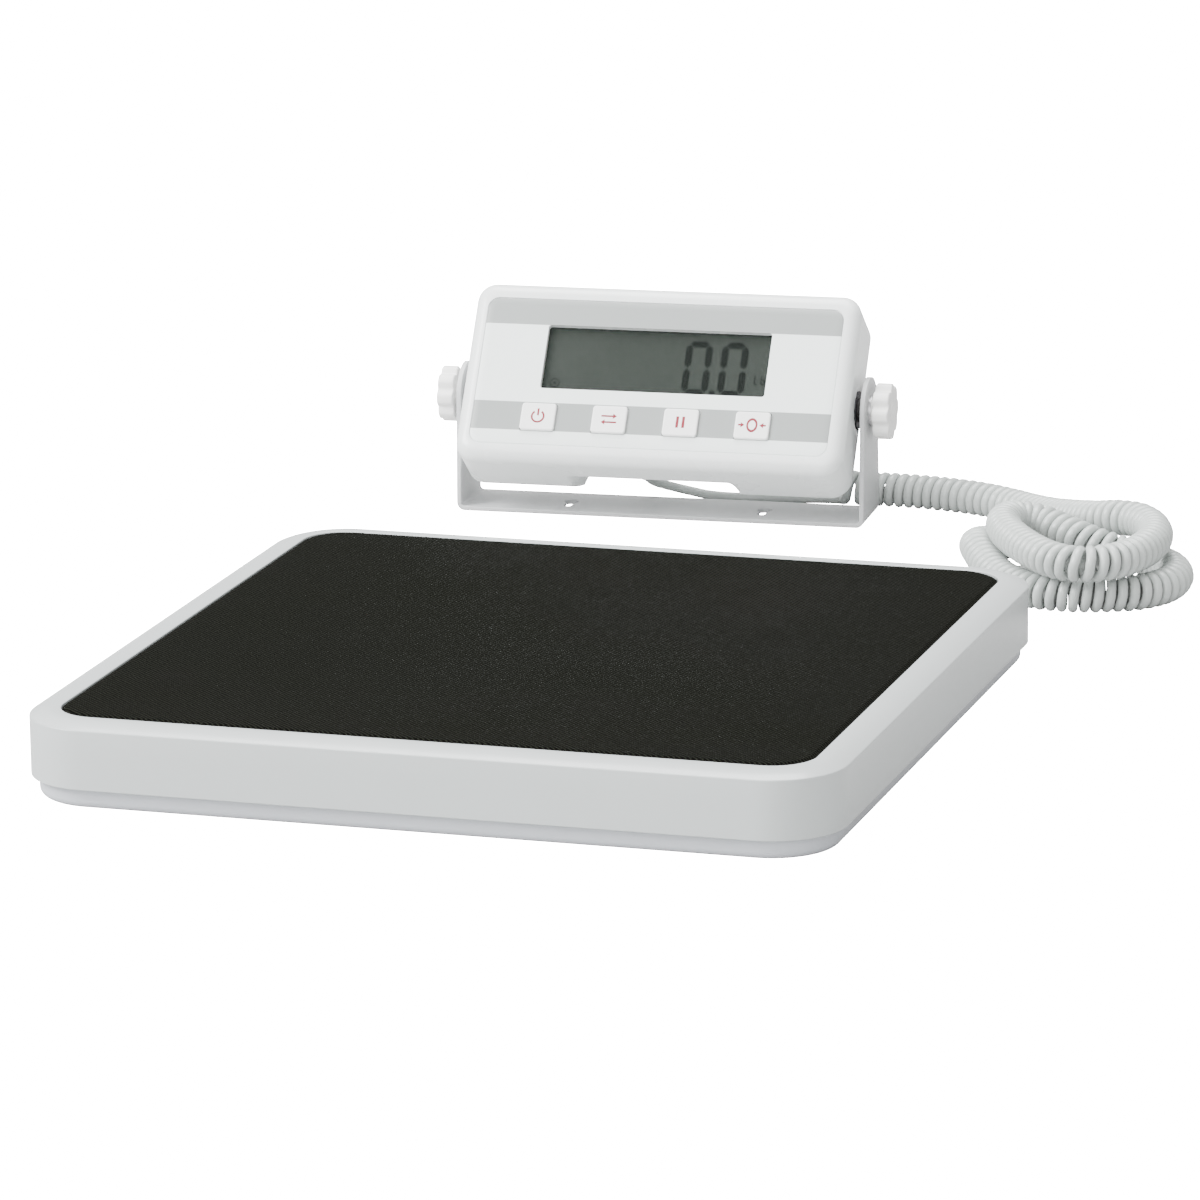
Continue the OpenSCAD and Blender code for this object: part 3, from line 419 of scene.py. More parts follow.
# %% Smooth curves and tubes
CABLE_D, TURN_RADIUS, TURNS = 4.1, 5.45, 144
EASE = 9.0
LEAD = np.array([
    [-12.6, 8.6, 13.2], [-11.8, 12.6, 10.6], [-10.6, 16.4, 8.3], [-7.8, 20.2, 6.4],
    [-3.0, 23.0, 4.6], [4.0, 24.0, 3.1], [12.0, 23.2, 2.2], [23.0, 22.6, 2.1],
    [37.0, 24.4, 2.1], [51.0, 26.9, 2.1], [60.0, 28.5, 2.1], [68.0, 29.6, 2.1]])
CURL = np.array([
    [68, 29.6, 7.5], [78, 30.1, 7.5], [90, 30.2, 7.5], [105, 29.5, 7.5], [120, 27, 7.5],
    [134, 22.5, 7.5],
    [147, 15.5, 7.5], [159, 5, 8.2], [170, -7.5, 10.2], [180, -20.5, 13], [190, -33.5, 16.2],
    [200, -45, 19.3], [210, -52, 21.8], [220, -58, 22.6], [228, -69.5, 22.6],
    [232.5, -84, 22.6], [233.5, -99, 22.6], [231, -115, 22.6], [224.5, -129, 22.6],
    [213.5, -136, 22.6], [201.5, -131.5, 22.6], [190, -119, 22.6], [180, -104.5, 22.6],
    [171.8, -89.5, 22.6], [167.2, -75.5, 22.6], [168.5, -63, 21.8], [178, -58.5, 19.6],
    [189, -62, 17.2], [199, -66.5, 15], [209, -67.8, 12.2], [219, -65.8, 9.2], [229, -67, 7.6],
    [237.5, -75.5, 7.5], [242.2, -89, 7.5], [241, -104, 7.5], [233, -116.5, 7.5],
    [221, -123.2, 7.5], [208, -126.4, 7.5], [195, -125.4, 7.5], [183.5, -118, 7.5],
    [173, -106, 8], [164, -91.5, 10], [156.8, -77.5, 11.6], [153.6, -63.5, 9.8],
    [157.5, -50.5, 7.8], [167, -42.5, 7.5], [178, -40.5, 7.5]])
TAIL = np.array([
    [178, -40.5, 2.1], [186, -42.5, 2.1], [191.5, -49, 2.1], [191.5, -57.5, 2.1],
    [185.5, -65.5, 2.1], [175, -71.5, 2.1], [162.5, -76.5, 2.1], [150, -83.5, 2.1],
    [139, -94.5, 2.1], [130.5, -109, 2.1], [125, -126, 2.1], [122, -143, 3.6],
    [120.8, -157, 8.5], [120.5, -168, 13.6], [120.5, -175.5, 16]])


def smooth_line(points, step):
    """A Catmull-Rom curve through points, sampled about every step millimetres: on each span
    p(t) = h00 p1 + h10 m1 + h01 p2 + h11 m2, with a slope m that is half the way from the point
    before to the point after."""
    points = np.asarray(points, float)
    slopes = np.gradient(points, axis=0)
    fine = []
    for k in range(len(points) - 1):
        count = max(2, int(round(np.linalg.norm(points[k + 1] - points[k]) / step)))
        t = np.linspace(0.0, 1.0, count, endpoint=False)[:, None]
        fine.append((2 * t**3 - 3 * t**2 + 1) * points[k] + (t**3 - 2 * t**2 + t) * slopes[k]
                    + (3 * t**2 - 2 * t**3) * points[k + 1] + (t**3 - t**2) * slopes[k + 1])
    return np.vstack(fine + [points[-1:]])


def unit(vectors):
    """Vectors divided by their lengths."""
    return vectors / np.linalg.norm(vectors, axis=-1, keepdims=True)


def upright_frame(line):
    """Unit vectors along a line, to its side and upwards from it, at each point."""
    ahead = unit(np.gradient(line, axis=0))
    side = unit(np.cross(ahead, [0.0, 0.0, 1.0]))
    return ahead, side, np.cross(side, ahead)


def cable_tube(line, sides=10):
    """A closed tube of the cable's diameter: ring i is c + r (cos a s + sin a u) about point c of
    the line. The frame is carried from ring to ring by removing what lies along the new
    direction, so that the rings never twist."""
    ahead = unit(np.gradient(line, axis=0))
    side = np.empty_like(line)
    current = unit(np.cross(ahead[0], [0.0, 0.0, 1.0] if abs(ahead[0][2]) < 0.9 else [1.0, 0, 0]))
    for i, direction in enumerate(ahead):
        current = current - direction * np.dot(current, direction)
        current = current / np.linalg.norm(current)
        side[i] = current
    up = np.cross(side, ahead)
    angle = np.linspace(0.0, 2 * np.pi, sides, endpoint=False)[None, :, None]
    rings = line[:, None] + CABLE_D / 2 * (np.cos(angle) * side[:, None]
                                           + np.sin(angle) * up[:, None])
    return loft(rings)


# %% Wind the spring
def spring_line(middle, radius, turns, per_turn=24):
    """The cable's own line: the angle grows with the length along the middle line at a rate that
    rises from zero over the first stretch and falls to zero over the last."""
    lengths = np.concatenate([[0.0], np.cumsum(np.linalg.norm(np.diff(middle, axis=0), axis=1))])
    places = np.linspace(0.0, lengths[-1], turns * per_turn)
    line = np.stack([np.interp(places, lengths, middle[:, k]) for k in range(3)], axis=-1)
    _, side, up = upright_frame(line)
    ramp = np.clip(np.minimum(places, places[::-1]) / EASE, 0.0, 1.0)
    rate = ramp * ramp * (3 - 2 * ramp)
    angle = np.cumsum(rate)
    angle = 2 * np.pi * turns * angle / angle[-1] - np.pi / 2
    return line + radius * (np.cos(angle)[:, None] * side + np.sin(angle)[:, None] * up)


lead_line = smooth_line(LEAD, 1.5)
curl_line = spring_line(smooth_line(CURL, 1.0), TURN_RADIUS, TURNS)
tail_line = smooth_line(TAIL, 1.5)
cord_lead = build("cord_lead_cable", cable_tube(lead_line, 12), CORD_GREY,
                  None, "cord_grey", "cord_lead", sharp=60.0)
cord_curly = build("cord_curly_cable", cable_tube(curl_line), CORD_GREY,
                   "base", "cord_grey", "cord_curly", sharp=60.0)
cord_tail = build("cord_tail_cable", cable_tube(tail_line, 12), CORD_GREY,
                  "base", "cord_grey", "cord_tail", sharp=60.0)
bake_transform(cord_lead)

# %% [markdown]
# ## The platform's cover
#
# The cover is a moulded tray turned upside down. Its rim has a flat lip beside the mat, a band
# that curves down to a crisp crease, and a wall that is almost upright. All of it is one profile
# of (inset, height) carried round a rounded rectangle. Carrying one profile keeps the crease
# parallel to the edge round every corner, which modelling from a bevelled box doesn't.

# %% Make the cover
PLATFORM_W, PLATFORM_D, PLATFORM_R, RIM = 310.0, 315.0, 28.0, 12.0
MAT_TOP, MAT_T = 34.5, 3.2
DECK = MAT_TOP - MAT_T
SIDE_POINTS = np.linspace(-110, 110, 9)
BOSSES = ([(sx * 143.0, sy * 70.0) for sx in (-1, 1) for sy in (-1, 1)]
          + [(sx * 70.0, sy * 145.5) for sx in (-1, 1) for sy in (-1, 1)])


def cover_profile():
    """Rows of (inset, height): the recess under the mat, the lip, the band z = top - 2.1 u^1.7
    where u runs from the lip to the crease, the wall, the lower edge and the inner faces."""
    u = np.linspace(0.0, 1.0, 12)
    band = np.column_stack([8.0 - 7.65 * u, 34.3 - 2.1 * u**1.7])
    return np.vstack([
        [[11.75, DECK], [11.75, 33.8]], arc((11.35, 33.9), 0.4, 0, 90),
        [[9.5, 34.3]], band, arc((0.55, 31.68), 0.55, 100, 180), [[0.0, 24.0], [0.0, 10.2]],
        arc((0.4, 10.0), 0.4, 180, 270), arc((2.1, 10.0), 0.4, 270, 360),
        [[2.5, 27.8]], arc((3.5, 27.8), 1.0, 180, 90)])


cover_rings = inset_rings(PLATFORM_W, PLATFORM_D, PLATFORM_R, cover_profile(), steps=16,
                          across=SIDE_POINTS, up=SIDE_POINTS)
boss_profile = [(1.5, 4.1), (4.0, 4.1), (4.0, 28.9), (1.5, 28.9)]
boss_shapes = [loft(turned(boss_profile, 20) + np.array([x, y, 0.0]), close=False)
               for x, y in BOSSES]
cover_points, cover_faces = merged([loft(cover_rings)] + boss_shapes)
cover = build("cover_shell", (on_platform(cover_points), cover_faces), COVER_WHITE,
              "base", "cover_plastic", "platform_cover")
print("cover has", len(cover.data.polygons), "faces")

# %% [markdown]
# ## The ribbed mat
#
# The mat is a rubber sheet with a low bevelled edge. Its top is pressed with fine diagonal ribs
# that cross a second, weaker set, so it reads as a dull dark weave. Ribs about 1.4 mm apart
# would need millions of faces as geometry, so they are a height in the material, and only the
# edge is a shape. The rib group gives that height and a mask of the rib tops, which the material
# uses to paint a highlight on the tops and painted shade in the grooves.

# %% The rib group
rib_tree, rib_in, rib_out = new_group(
    "pressed_ribs", [("Ribs per metre", "number", 700.0), ("Weaker set", "number", 0.5)],
    [("Height", "number"), ("Painted highlight", "number")])
rib_place = rib_tree.nodes.new("ShaderNodeTexCoord").outputs["Object"]
split = rib_tree.nodes.new("ShaderNodeSeparateXYZ")
rib_tree.links.new(rib_place, split.inputs[0])
wobble = maths(rib_tree, "MULTIPLY_ADD", noise(rib_tree, rib_place, 260.0, 2.0), 0.0016, 0.0)


def rib_wave(slant):
    """A wave from 0 to 1 across lines of x + slant y, with a little wobble in their place."""
    along = maths(rib_tree, "MULTIPLY_ADD", split.outputs["Y"], slant, split.outputs["X"])
    shifted = maths(rib_tree, "ADD", along, wobble)
    turns = maths(rib_tree, "MULTIPLY", shifted, rib_in.outputs["Ribs per metre"])
    wave = maths(rib_tree, "SINE", maths(rib_tree, "MULTIPLY", turns, 2 * np.pi), 0.0)
    return maths(rib_tree, "MULTIPLY_ADD", wave, 0.5, 0.5)


strong, weak = rib_wave(1.15), rib_wave(-0.7)
rib_height = maths(rib_tree, "MULTIPLY_ADD", weak, rib_in.outputs["Weaker set"], strong)
rib_tree.links.new(rib_height, rib_out.inputs["Height"])
# The cube of the strong ribs marks their tops. The material uses it for a painted highlight there
# and painted shade in the grooves.
rib_tree.links.new(maths(rib_tree, "POWER", strong, 3.0), rib_out.inputs["Painted highlight"])


def mat_material():
    """Black rubber with painted light: the rib tops get a painted highlight and the grooves
    painted shade, so the tops are lighter than the grooves.
    """
    material = finish("mat_rubber", (0.0034, 0.0037, 0.0026), 0.62, drift=0.5, patches=12.0,
                      grains=900.0, rough_drift=0.3, depth=0.00022, Specular_IOR_Level=0.012)
    tree = material.node_tree
    grain = tree.nodes["grain"]
    ribs = add_group(tree, rib_tree, {"Ribs per metre": 470.0, "Weaker set": 0.55})
    # Painted light: the colour is multiplied by 0.3 in the grooves as painted shade and by up to
    # 2.9 on the rib tops as a painted highlight.
    painted_rib_light = maths(tree, "MULTIPLY_ADD", ribs.outputs["Painted highlight"], 2.6, 0.3)
    tree.links.new(scaled_colour(tree, grain.outputs["Colour"], painted_rib_light),
                   tree.nodes["Principled BSDF"].inputs["Base Color"])
    height = maths(tree, "MULTIPLY_ADD", grain.outputs["Height"], 0.35, ribs.outputs["Height"])
    tree.links.new(height, tree.nodes["bump"].inputs["Height"])
    return material


MAT_BLACK = mat_material()

# %% Make the mat
mat_profile = np.vstack([
    [[2.6, MAT_TOP]], arc((2.2, 33.5), 1.0, 90, 125, 4),
    [[0.45, 33.75]], arc((0.4, 33.35), 0.4, 100, 180, 4), [[0.0, DECK + 0.01]]])
mat_rings = inset_rings(PLATFORM_W - 2 * RIM, PLATFORM_D - 2 * RIM, 17.0, mat_profile, steps=16,
                        across=SIDE_POINTS, up=SIDE_POINTS)
build("ribbed_mat", loft(on_platform(mat_rings)), MAT_BLACK, "base", "mat_rubber",
      "platform_mat")
print("mat top at", MAT_TOP, "mm")

# %% [markdown]
# ## The base tray
#
# Under the cover sits a shallower tray with a rounded lower edge. The feet stand in four round
# openings, and eight screws sit in small sinks. The openings are cut with a Boolean modifier
# whose result is kept, because a hole doesn't follow the grid of rings.

# %% Cut holes


def cut(piece, shapes):
    """Takes closed (points, faces) shapes, in millimetres of the frame, out of a piece."""
    points, faces = merged(shapes)
    tool = bpy.data.objects.new("tool", make_mesh("tool", points, faces, piece.data.materials[0]))
    bpy.context.scene.collection.objects.link(tool)
    boolean = piece.modifiers.new("cut", "BOOLEAN")
    boolean.operation, boolean.solver, boolean.object = "DIFFERENCE", "EXACT", tool
    result = bpy.data.meshes.new_from_object(
        piece.evaluated_get(bpy.context.evaluated_depsgraph_get()))
    piece.modifiers.remove(boolean)
    old_mesh, name = piece.data, piece.data.name
    piece.data = result
    bpy.data.meshes.remove(old_mesh)
    result.name = name
    bpy.data.objects.remove(tool)
    result.polygons.foreach_set("use_smooth", np.ones(len(result.polygons), dtype=bool))
    result.set_sharp_from_angle(angle=radians(38.0))
    print(piece.name, "cut, now", len(result.polygons), "faces")


# %% Make the tray
TRAY_IN, TRAY_LOW, TRAY_TOP, TRAY_WALL = 3.0, 1.8, 13.0, 2.2
FEET = [(sx * 106.0, sy * 120.0) for sx in (-1, 1) for sy in (-1, 1)]
tray_profile = np.vstack([
    arc((3.2, TRAY_LOW + 3.2), 3.2, 270, 180, 9), [[0.0, TRAY_TOP]],
    [[TRAY_WALL, TRAY_TOP]], [[TRAY_WALL, 5.2]], arc((3.4, 5.2), 1.2, 180, 270, 4)])
tray_rings = inset_rings(PLATFORM_W - 2 * TRAY_IN, PLATFORM_D - 2 * TRAY_IN, 25.0, tray_profile,
                         steps=16, across=SIDE_POINTS, up=SIDE_POINTS)
tray = build("tray_shell", loft(on_platform(tray_rings)), TRAY_GREY, "base", "tray_plastic",
             "base_tray")
foot_holes = [loft(on_platform(turned([(14.0, 0.0), (14.0, 20.0)], 48) + [x, y, 0.0]))
              for x, y in FEET]
screw_holes = [loft(on_platform(turned([(3.2, 0.0), (3.2, 3.0), (1.7, 3.01), (1.7, 8.0)], 20)
                                + [x, y, 0.0])) for x, y in BOSSES]
cut(tray, foot_holes + screw_holes)

# %% [markdown]
# ## The stand
#
# The stand is one steel strip bent into a U. Its middle line runs up one arm, round two bends and
# up the other, and its width narrows along the arms to a round ear at each pivot. A rounded
# section carried along that line gives the thin bright edge of real sheet metal.

# %% Make the strip
ARM_X, STRIP_T, STRIP_D, BEND, EAR = 88.0, 2.0, 33.0, 2.5, 14.3


def strip_line():
    """Rows of (x, z) along the middle of the strip, with the half width at each, from one ear's
    top to the other's. An ear is half a circle: half width = sqrt(R^2 - (z - pivot)^2)."""
    angle = np.radians(np.linspace(88.0, 0.0, 14))
    ear_z = PIVOT_Z + EAR * np.sin(angle)
    ear_w = EAR * np.cos(angle)
    arm_z = np.linspace(PIVOT_Z, 7.5, 9)[1:]
    arm_w = EAR + (STRIP_D / 2 - EAR) * (PIVOT_Z - arm_z) / (PIVOT_Z - 7.5)
    bend = arc((-ARM_X + BEND, 1.0 + BEND), BEND, 180, 270, 7)
    base_x = np.linspace(-ARM_X + BEND, 0.0, 12)[1:]
    half = np.vstack([
        np.column_stack([np.full(14, -ARM_X), ear_z, ear_w]),
        np.column_stack([np.full(8, -ARM_X), arm_z, arm_w]),
        np.column_stack([bend, np.full(7, STRIP_D / 2)]),
        np.column_stack([base_x, np.full(11, 1.0), np.full(11, STRIP_D / 2)])])
    mirrored = half[-2::-1] * np.array([-1.0, 1.0, 1.0])
    return np.vstack([half, mirrored])


def strip_rings(rows, soft=0.35):
    """A rounded section of half width w and half thickness t at each row: the section's own
    point (a, b) goes a along the stand's depth and b along the line's normal."""
    line = rows[:, :2]
    ahead = unit(np.gradient(line, axis=0))
    normal = np.column_stack([-ahead[:, 1], ahead[:, 0]])
    rings = []
    for (x, z, width), (nx, nz) in zip(rows, normal):
        section = round_ring(2 * max(width, 0.5), STRIP_T, soft, steps=3)
        rings.append(np.column_stack([x + nx * section[:, 1], section[:, 0],
                                      z + nz * section[:, 1]]))
    return np.array(rings)


BRACKET_PAINT = finish("bracket_paint", (0.50, 0.51, 0.515), 0.42, drift=0.08, patches=900.0,
                       grains=2600.0, rough_drift=0.3, depth=0.00007)
stand = build("stand_strip", loft(on_stand(strip_rings(strip_line()))), BRACKET_PAINT, "base",
              "bracket_paint", "bracket")


def keyhole(x):
    """A round hole that runs on into a narrow slot towards the front, as one upright prism."""
    wide = arc((0.0, 0.3), 3.2, -57.9, 237.9, 28)
    narrow = arc((0.0, -6.7), 1.7, 180, 360, 12)
    outline = np.vstack([wide, narrow]) + [x, 0.0]
    levels = [np.column_stack([outline, np.full(len(outline), z)]) for z in (-2.0, 5.0)]
    return loft(on_stand(np.array(levels)))


def pivot_hole(side):
    """A round hole through one arm, on the pivot's axis."""
    rings = turned([(3.3, 84.0), (3.3, 92.0)], 32)[..., [2, 0, 1]] * [side, 1, 1]
    return loft(on_stand(rings + [0.0, 0.0, PIVOT_Z]))


cut(stand, [keyhole(-42.5), keyhole(42.5), pivot_hole(-1), pivot_hole(1)])

# %% [markdown]
# ## The display's front shell
#
# The front shell is a box with soft edges that opens to the back. Its rings run from the opening
# for the printed film, over the rounded edge of the face and down the sides to the parting line,
# then back along the inside. A shallow dish round each pivot and a long notch under the parting
# line are worked into the rings as moves of the points near them.

# %% Rings of a shell with dishes and a notch
HEAD_W, HEAD_H, HEAD_R, FACE_UP = 168.0, 82.5, 9.0, 2.1
FACE_Y, PART_Y, BACK_Y, WALL = -24.0, 4.0, 16.0, 2.5
NOTCH_TOP, NOTCH_LOW, NOTCH_SLOPE, NOTCH_D = 33.0, 36.5, 0.45, 11.0
DISH_R, DISH_DEPTH = 10.5, 1.1
HEAD_ACROSS = np.concatenate([[-70, -60, -50, -42, -37.5, -36.5, -33, -32],
                              np.linspace(-24, 24, 7), [32, 33, 36.5, 37.5, 42, 50, 60, 70]])
HEAD_UP = np.arange(-28.0, 29.0, 2.0)


def smooth_step(value):
    """3 v^2 - 2 v^3 of a value held between 0 and 1."""
    value = np.clip(value, 0.0, 1.0)
    return value * value * (3 - 2 * value)


def dish_and_notch(rings):
    """Draws the side walls in near the pivot by a smooth step of the distance from it, and lifts
    the lower wall over the notch by one ramp across times a slope along the depth."""
    x, y, z = rings[..., 0].copy(), rings[..., 1], rings[..., 2].copy()
    outer = np.abs(x) > HEAD_W / 2 - 4.6
    dish = DISH_DEPTH * smooth_step((DISH_R - np.hypot(y, z)) / 3.0) * outer
    low = z < FACE_UP - HEAD_H / 2 + WALL + 2.2
    across = np.clip((NOTCH_LOW - np.abs(x)) / (NOTCH_LOW - NOTCH_TOP), 0.0, 1.0)
    rise = NOTCH_SLOPE * np.clip(y - PART_Y + NOTCH_D, 0.0, None)
    return np.stack([x - np.sign(x) * dish, y, z + rise * across * low], axis=-1)


def shell_rings(profile):
    """Rings of the display's outline for rows of (inset, depth, corner radius)."""
    rings = []
    for inset, depth, corner in profile:
        outline = round_ring(HEAD_W - 2 * inset, HEAD_H - 2 * inset, corner, steps=10,
                             across=HEAD_ACROSS, up=HEAD_UP)
        rings.append(np.column_stack([outline[:, 0], np.full(len(outline), depth),
                                      outline[:, 1] + FACE_UP]))
    return dish_and_notch(np.array(rings))


def rows(pairs, corner):
    """Rows of (inset, depth, corner radius) from (inset, depth) pairs."""
    pairs = np.atleast_2d(pairs)
    return np.column_stack([pairs, corner - pairs[:, 0]])


# %% Make the front shell
face_edge = arc((6.0, FACE_Y + 6.0), 6.0, 270, 180, 12)
side_depths = np.array([-17, -16, -14, -12, -10, -8, -7.1, -6.9, -6, -4, -2, 0, 2, 3.4])
front_profile = np.vstack([
    rows([[7.0, FACE_Y]], HEAD_R + 3),
    np.column_stack([face_edge, np.linspace(5.0, HEAD_R, 12)]),
    rows(np.column_stack([np.zeros(14), side_depths]), HEAD_R),
    rows(arc((0.35, 3.55), 0.35, 180, 90, 4), HEAD_R),
    rows([[WALL, 3.9], [WALL, -4.0], [WALL, -7.0], [WALL, -19.0], [5.0, FACE_Y + WALL]],
         HEAD_R)])
bezel = build("front_shell", loft(on_display(shell_rings(front_profile))), HOUSING_WHITE, "head",
              "housing_plastic", "display_bezel")

OVERLAY_W, OVERLAY_H, OVERLAY_R, OVERLAY_UP = 155.0, 67.4, 5.0, -0.7 + FACE_UP
LCD_W, LCD_H, LCD_X, LCD_UP = 97.0, 29.0, -1.0, 6.4 + FACE_UP
BUTTON_W, BUTTON_H, BUTTON_UP, BUTTON_FIT = 15.0, 12.4, -22.0 + FACE_UP, 0.25
BUTTON_X = {"power": -48.5, "units": -17.5, "hold": 13.5, "zero": 44.5}


def face_block(width, height, radius, x, up, front, back, **extra):
    """A closed block with round corners parallel to the face, between two depths."""
    outline = round_ring(width, height, radius, **extra)
    levels = [np.column_stack([outline[:, 0] + x, np.full(len(outline), depth),
                               outline[:, 1] + up]) for depth in (front, back)]
    return loft(on_display(np.array(levels)))


def face_openings(front, back):
    """Blocks for the window's and the buttons' openings."""
    gap = 2 * BUTTON_FIT
    blocks = [face_block(LCD_W + gap, LCD_H + gap, 1.2, LCD_X, LCD_UP, front, back)]
    return blocks + [face_block(BUTTON_W + gap, BUTTON_H + gap, 1.2, x, BUTTON_UP, front, back)
                     for x in BUTTON_X.values()]


cut(bezel, [face_block(OVERLAY_W + 0.5, OVERLAY_H + 0.5, OVERLAY_R, 0.0, OVERLAY_UP,
                       FACE_Y - 1.0, FACE_Y + 0.5)])
cut(bezel, face_openings(FACE_Y - 1.0, FACE_Y + WALL + 1.0))

# %% [markdown]
# ## The printed film
#
# A thin polycarbonate film covers the face. It is white, with a grey band along its top and a
# second one behind the buttons. Bands are printed colour, so they belong in the material. Each
# band is a mask of the height on the face, which the film carries as its own UV map in units of
# 100 mm, because the face leans and the world's heights don't follow it.

# %% The band group
band_tree, band_in, band_out = new_group(
    "printed_band", [("Low", "number", 0.0), ("High", "number", 1.0), ("Soft", "number", 0.0012)],
    [("Mask", "number")])
band_uv = band_tree.nodes.new("ShaderNodeUVMap")
band_uv.uv_map = "face"
band_split = band_tree.nodes.new("ShaderNodeSeparateXYZ")
band_tree.links.new(band_uv.outputs["UV"], band_split.inputs[0])


def band_edge(limit, sign):
    """0 outside and 1 inside an edge, with a soft step between."""
    away = maths(band_tree, "SUBTRACT", band_split.outputs["Y"], limit)
    scaled = maths(band_tree, "DIVIDE", maths(band_tree, "MULTIPLY", away, sign),
                   band_in.outputs["Soft"])
    step = maths(band_tree, "ADD", scaled, 0.5)
    step.node.use_clamp = True
    return step


inside = maths(band_tree, "MULTIPLY", band_edge(band_in.outputs["Low"], 1.0),
               band_edge(band_in.outputs["High"], -1.0))
band_tree.links.new(inside, band_out.inputs["Mask"])


# Low and high edge of each grey band, in units of 100 mm above the pivot, and how much of the
# white the bands take away.
TOP_BAND, BUTTON_BAND, BAND_SHARE = (0.231, 0.5), (-0.260, -0.129), 0.66


def film_material():
    """White film with two grey bands, under a smooth clear surface."""
    material = finish("overlay_film", (0.80, 0.85, 0.835), 0.32, drift=0.02, patches=30.0,
                      grains=3000.0, rough_drift=0.08, depth=0.000006)
    tree = material.node_tree
    top = add_group(tree, band_tree, {"Low": TOP_BAND[0], "High": TOP_BAND[1]})
    low = add_group(tree, band_tree, {"Low": BUTTON_BAND[0], "High": BUTTON_BAND[1]})
    both = maths(tree, "ADD", top.outputs["Mask"], low.outputs["Mask"])
    factor = maths(tree, "MULTIPLY_ADD", both, -BAND_SHARE, 1.0)
    tree.links.new(scaled_colour(tree, tree.nodes["grain"].outputs["Colour"], factor),
                   tree.nodes["Principled BSDF"].inputs["Base Color"])
    return material


FILM = film_material()

# %% Make the film
film_profile = [(3.0, -23.90), (0.35, -23.90), (0.1, -23.82), (0.0, -23.7), (0.0, -23.52),
                (3.0, -23.52)]
film_rings = across_display(inset_rings(OVERLAY_W, OVERLAY_H, OVERLAY_R, film_profile, steps=10))
film = build("printed_film", loft(on_display(film_rings + [0.0, 0.0, OVERLAY_UP])), FILM,
             "head", "overlay_film", "front_overlay")
cut(film, face_openings(FACE_Y - 1.0, FACE_Y + 1.0))


def face_uv(piece):
    """A UV map named face: u is the place across the face and v the height above the pivot, both
    in units of 100 mm, from the display's own axes undone from each point."""
    mesh = piece.data
    places = np.empty(len(mesh.vertices) * 3)
    mesh.vertices.foreach_get("co", places)
    places = places.reshape(-1, 3) / MM - on_display([[0.0, 0.0, 0.0]])
    axes = on_display(np.array([[1.0, 0, 0], [0, 0, 1.0]])) - on_display([[0.0, 0.0, 0.0]])
    corners = np.empty(len(mesh.loops), dtype=int)
    mesh.loops.foreach_get("vertex_index", corners)
    layer = mesh.uv_layers.new(name="face")
    layer.data.foreach_set("uv", (places @ axes.T / 100.0)[corners].ravel())


face_uv(film)

# %% [markdown]
# ## Window, glass and segments
#
# Behind a clear window lies a grey-green reflective glass. The dark figures on it are segments
# with thin slanted gaps, like those of any such display. Flat prisms a few hundredths of a
# millimetre thick give them crisp outlines at any distance. The window is plain clear plastic,
# partly see-through, with the gloss of its front face.

# %% Window and glass
INNER_Y = FACE_Y + WALL
# A smooth skin over an almost clear body.
WINDOW_CLEAR = finish("window_clear", (0.10, 0.12, 0.11), 0.06, drift=0.02, patches=20.0,
                      grains=2000.0, rough_drift=0.03, depth=0.000002, Alpha=0.05,
                      Specular_IOR_Level=0.25)
build("clear_window", face_block(LCD_W, LCD_H, 1.0, LCD_X, LCD_UP, FACE_Y + 0.12, INNER_Y + 0.7),
      WINDOW_CLEAR, "head", "window_clear", "lcd_window")
finish("lcd_glass", (0.011, 0.0145, 0.0115), 0.35, drift=0.10, patches=18.0, grains=5000.0,
       depth=0.00001, Specular_IOR_Level=0.2)
SEGMENT_INK = finish("segment_ink", (0.0006, 0.0008, 0.0007), 0.45, drift=0.2, patches=200.0,
                     depth=0.000005, Specular_IOR_Level=0.02)

# %% Prisms and segments


def prisms(outlines, front, back):
    """Closed flat prisms on the face, from outlines of (x, up) rows between two depths. Each
    keeps its outline as one face in front and one behind."""
    shapes = []
    for outline in outlines:
        outline = np.asarray(outline, float)
        count = len(outline)
        points = np.vstack([np.column_stack([outline[:, 0], np.full(count, depth), outline[:, 1]])
                            for depth in (front, back)])
        ring = np.arange(count)
        after = (ring + 1) % count
        sides = np.stack([ring, after, after + count, ring + count], axis=-1).tolist()
        shapes.append((on_display(points), [ring.tolist(), (ring[::-1] + count).tolist()] + sides))
    return merged(shapes)


def bar(start, end, half):
    """One segment between two points: a bar with pointed ends of the given half width."""
    start, end = np.asarray(start, float), np.asarray(end, float)
    ahead = (end - start) / np.linalg.norm(end - start)
    side = np.array([-ahead[1], ahead[0]]) * half
    tip = ahead * half
    return np.array([start, start + tip + side, end - tip + side, end, end - tip - side,
                     start + tip - side])


FIGURES = {"0": "abcdef", "L": "def", "b": "cdefg"}


def figure(name, x0, x1, z0, z1, half, gap):
    """The outlines of one figure: seven places named a to g, from the top round to the middle."""
    left, right, low, high = x0 + half, x1 - half, z0 + half, z1 - half
    middle = (low + high) / 2
    places = {"a": ((left, high), (right, high)), "b": ((right, high), (right, middle)),
              "c": ((right, middle), (right, low)), "d": ((right, low), (left, low)),
              "e": ((left, low), (left, middle)), "f": ((left, middle), (left, high)),
              "g": ((left, middle), (right, middle))}
    outlines = []
    for letter in FIGURES[name]:
        start, end = map(np.array, places[letter])
        ahead = (end - start) / np.linalg.norm(end - start)
        outlines.append(bar(start + ahead * gap, end - ahead * gap, half))
    return outlines


def circle_band(centre, radius, half, start=0.0, end=360.0, steps=40, tall=1.0):
    """A band of a circle between two angles, as two joined outlines."""
    middle = (start + end) / 2
    halves = []
    for low, high in ((start, middle), (middle, end)):
        angle = np.radians(np.linspace(low, high, steps // 2))
        direction = np.column_stack([np.cos(angle), tall * np.sin(angle)])
        halves.append(np.vstack([centre + (radius + half) * direction,
                                 centre + (radius - half) * direction[::-1]]))
    return halves


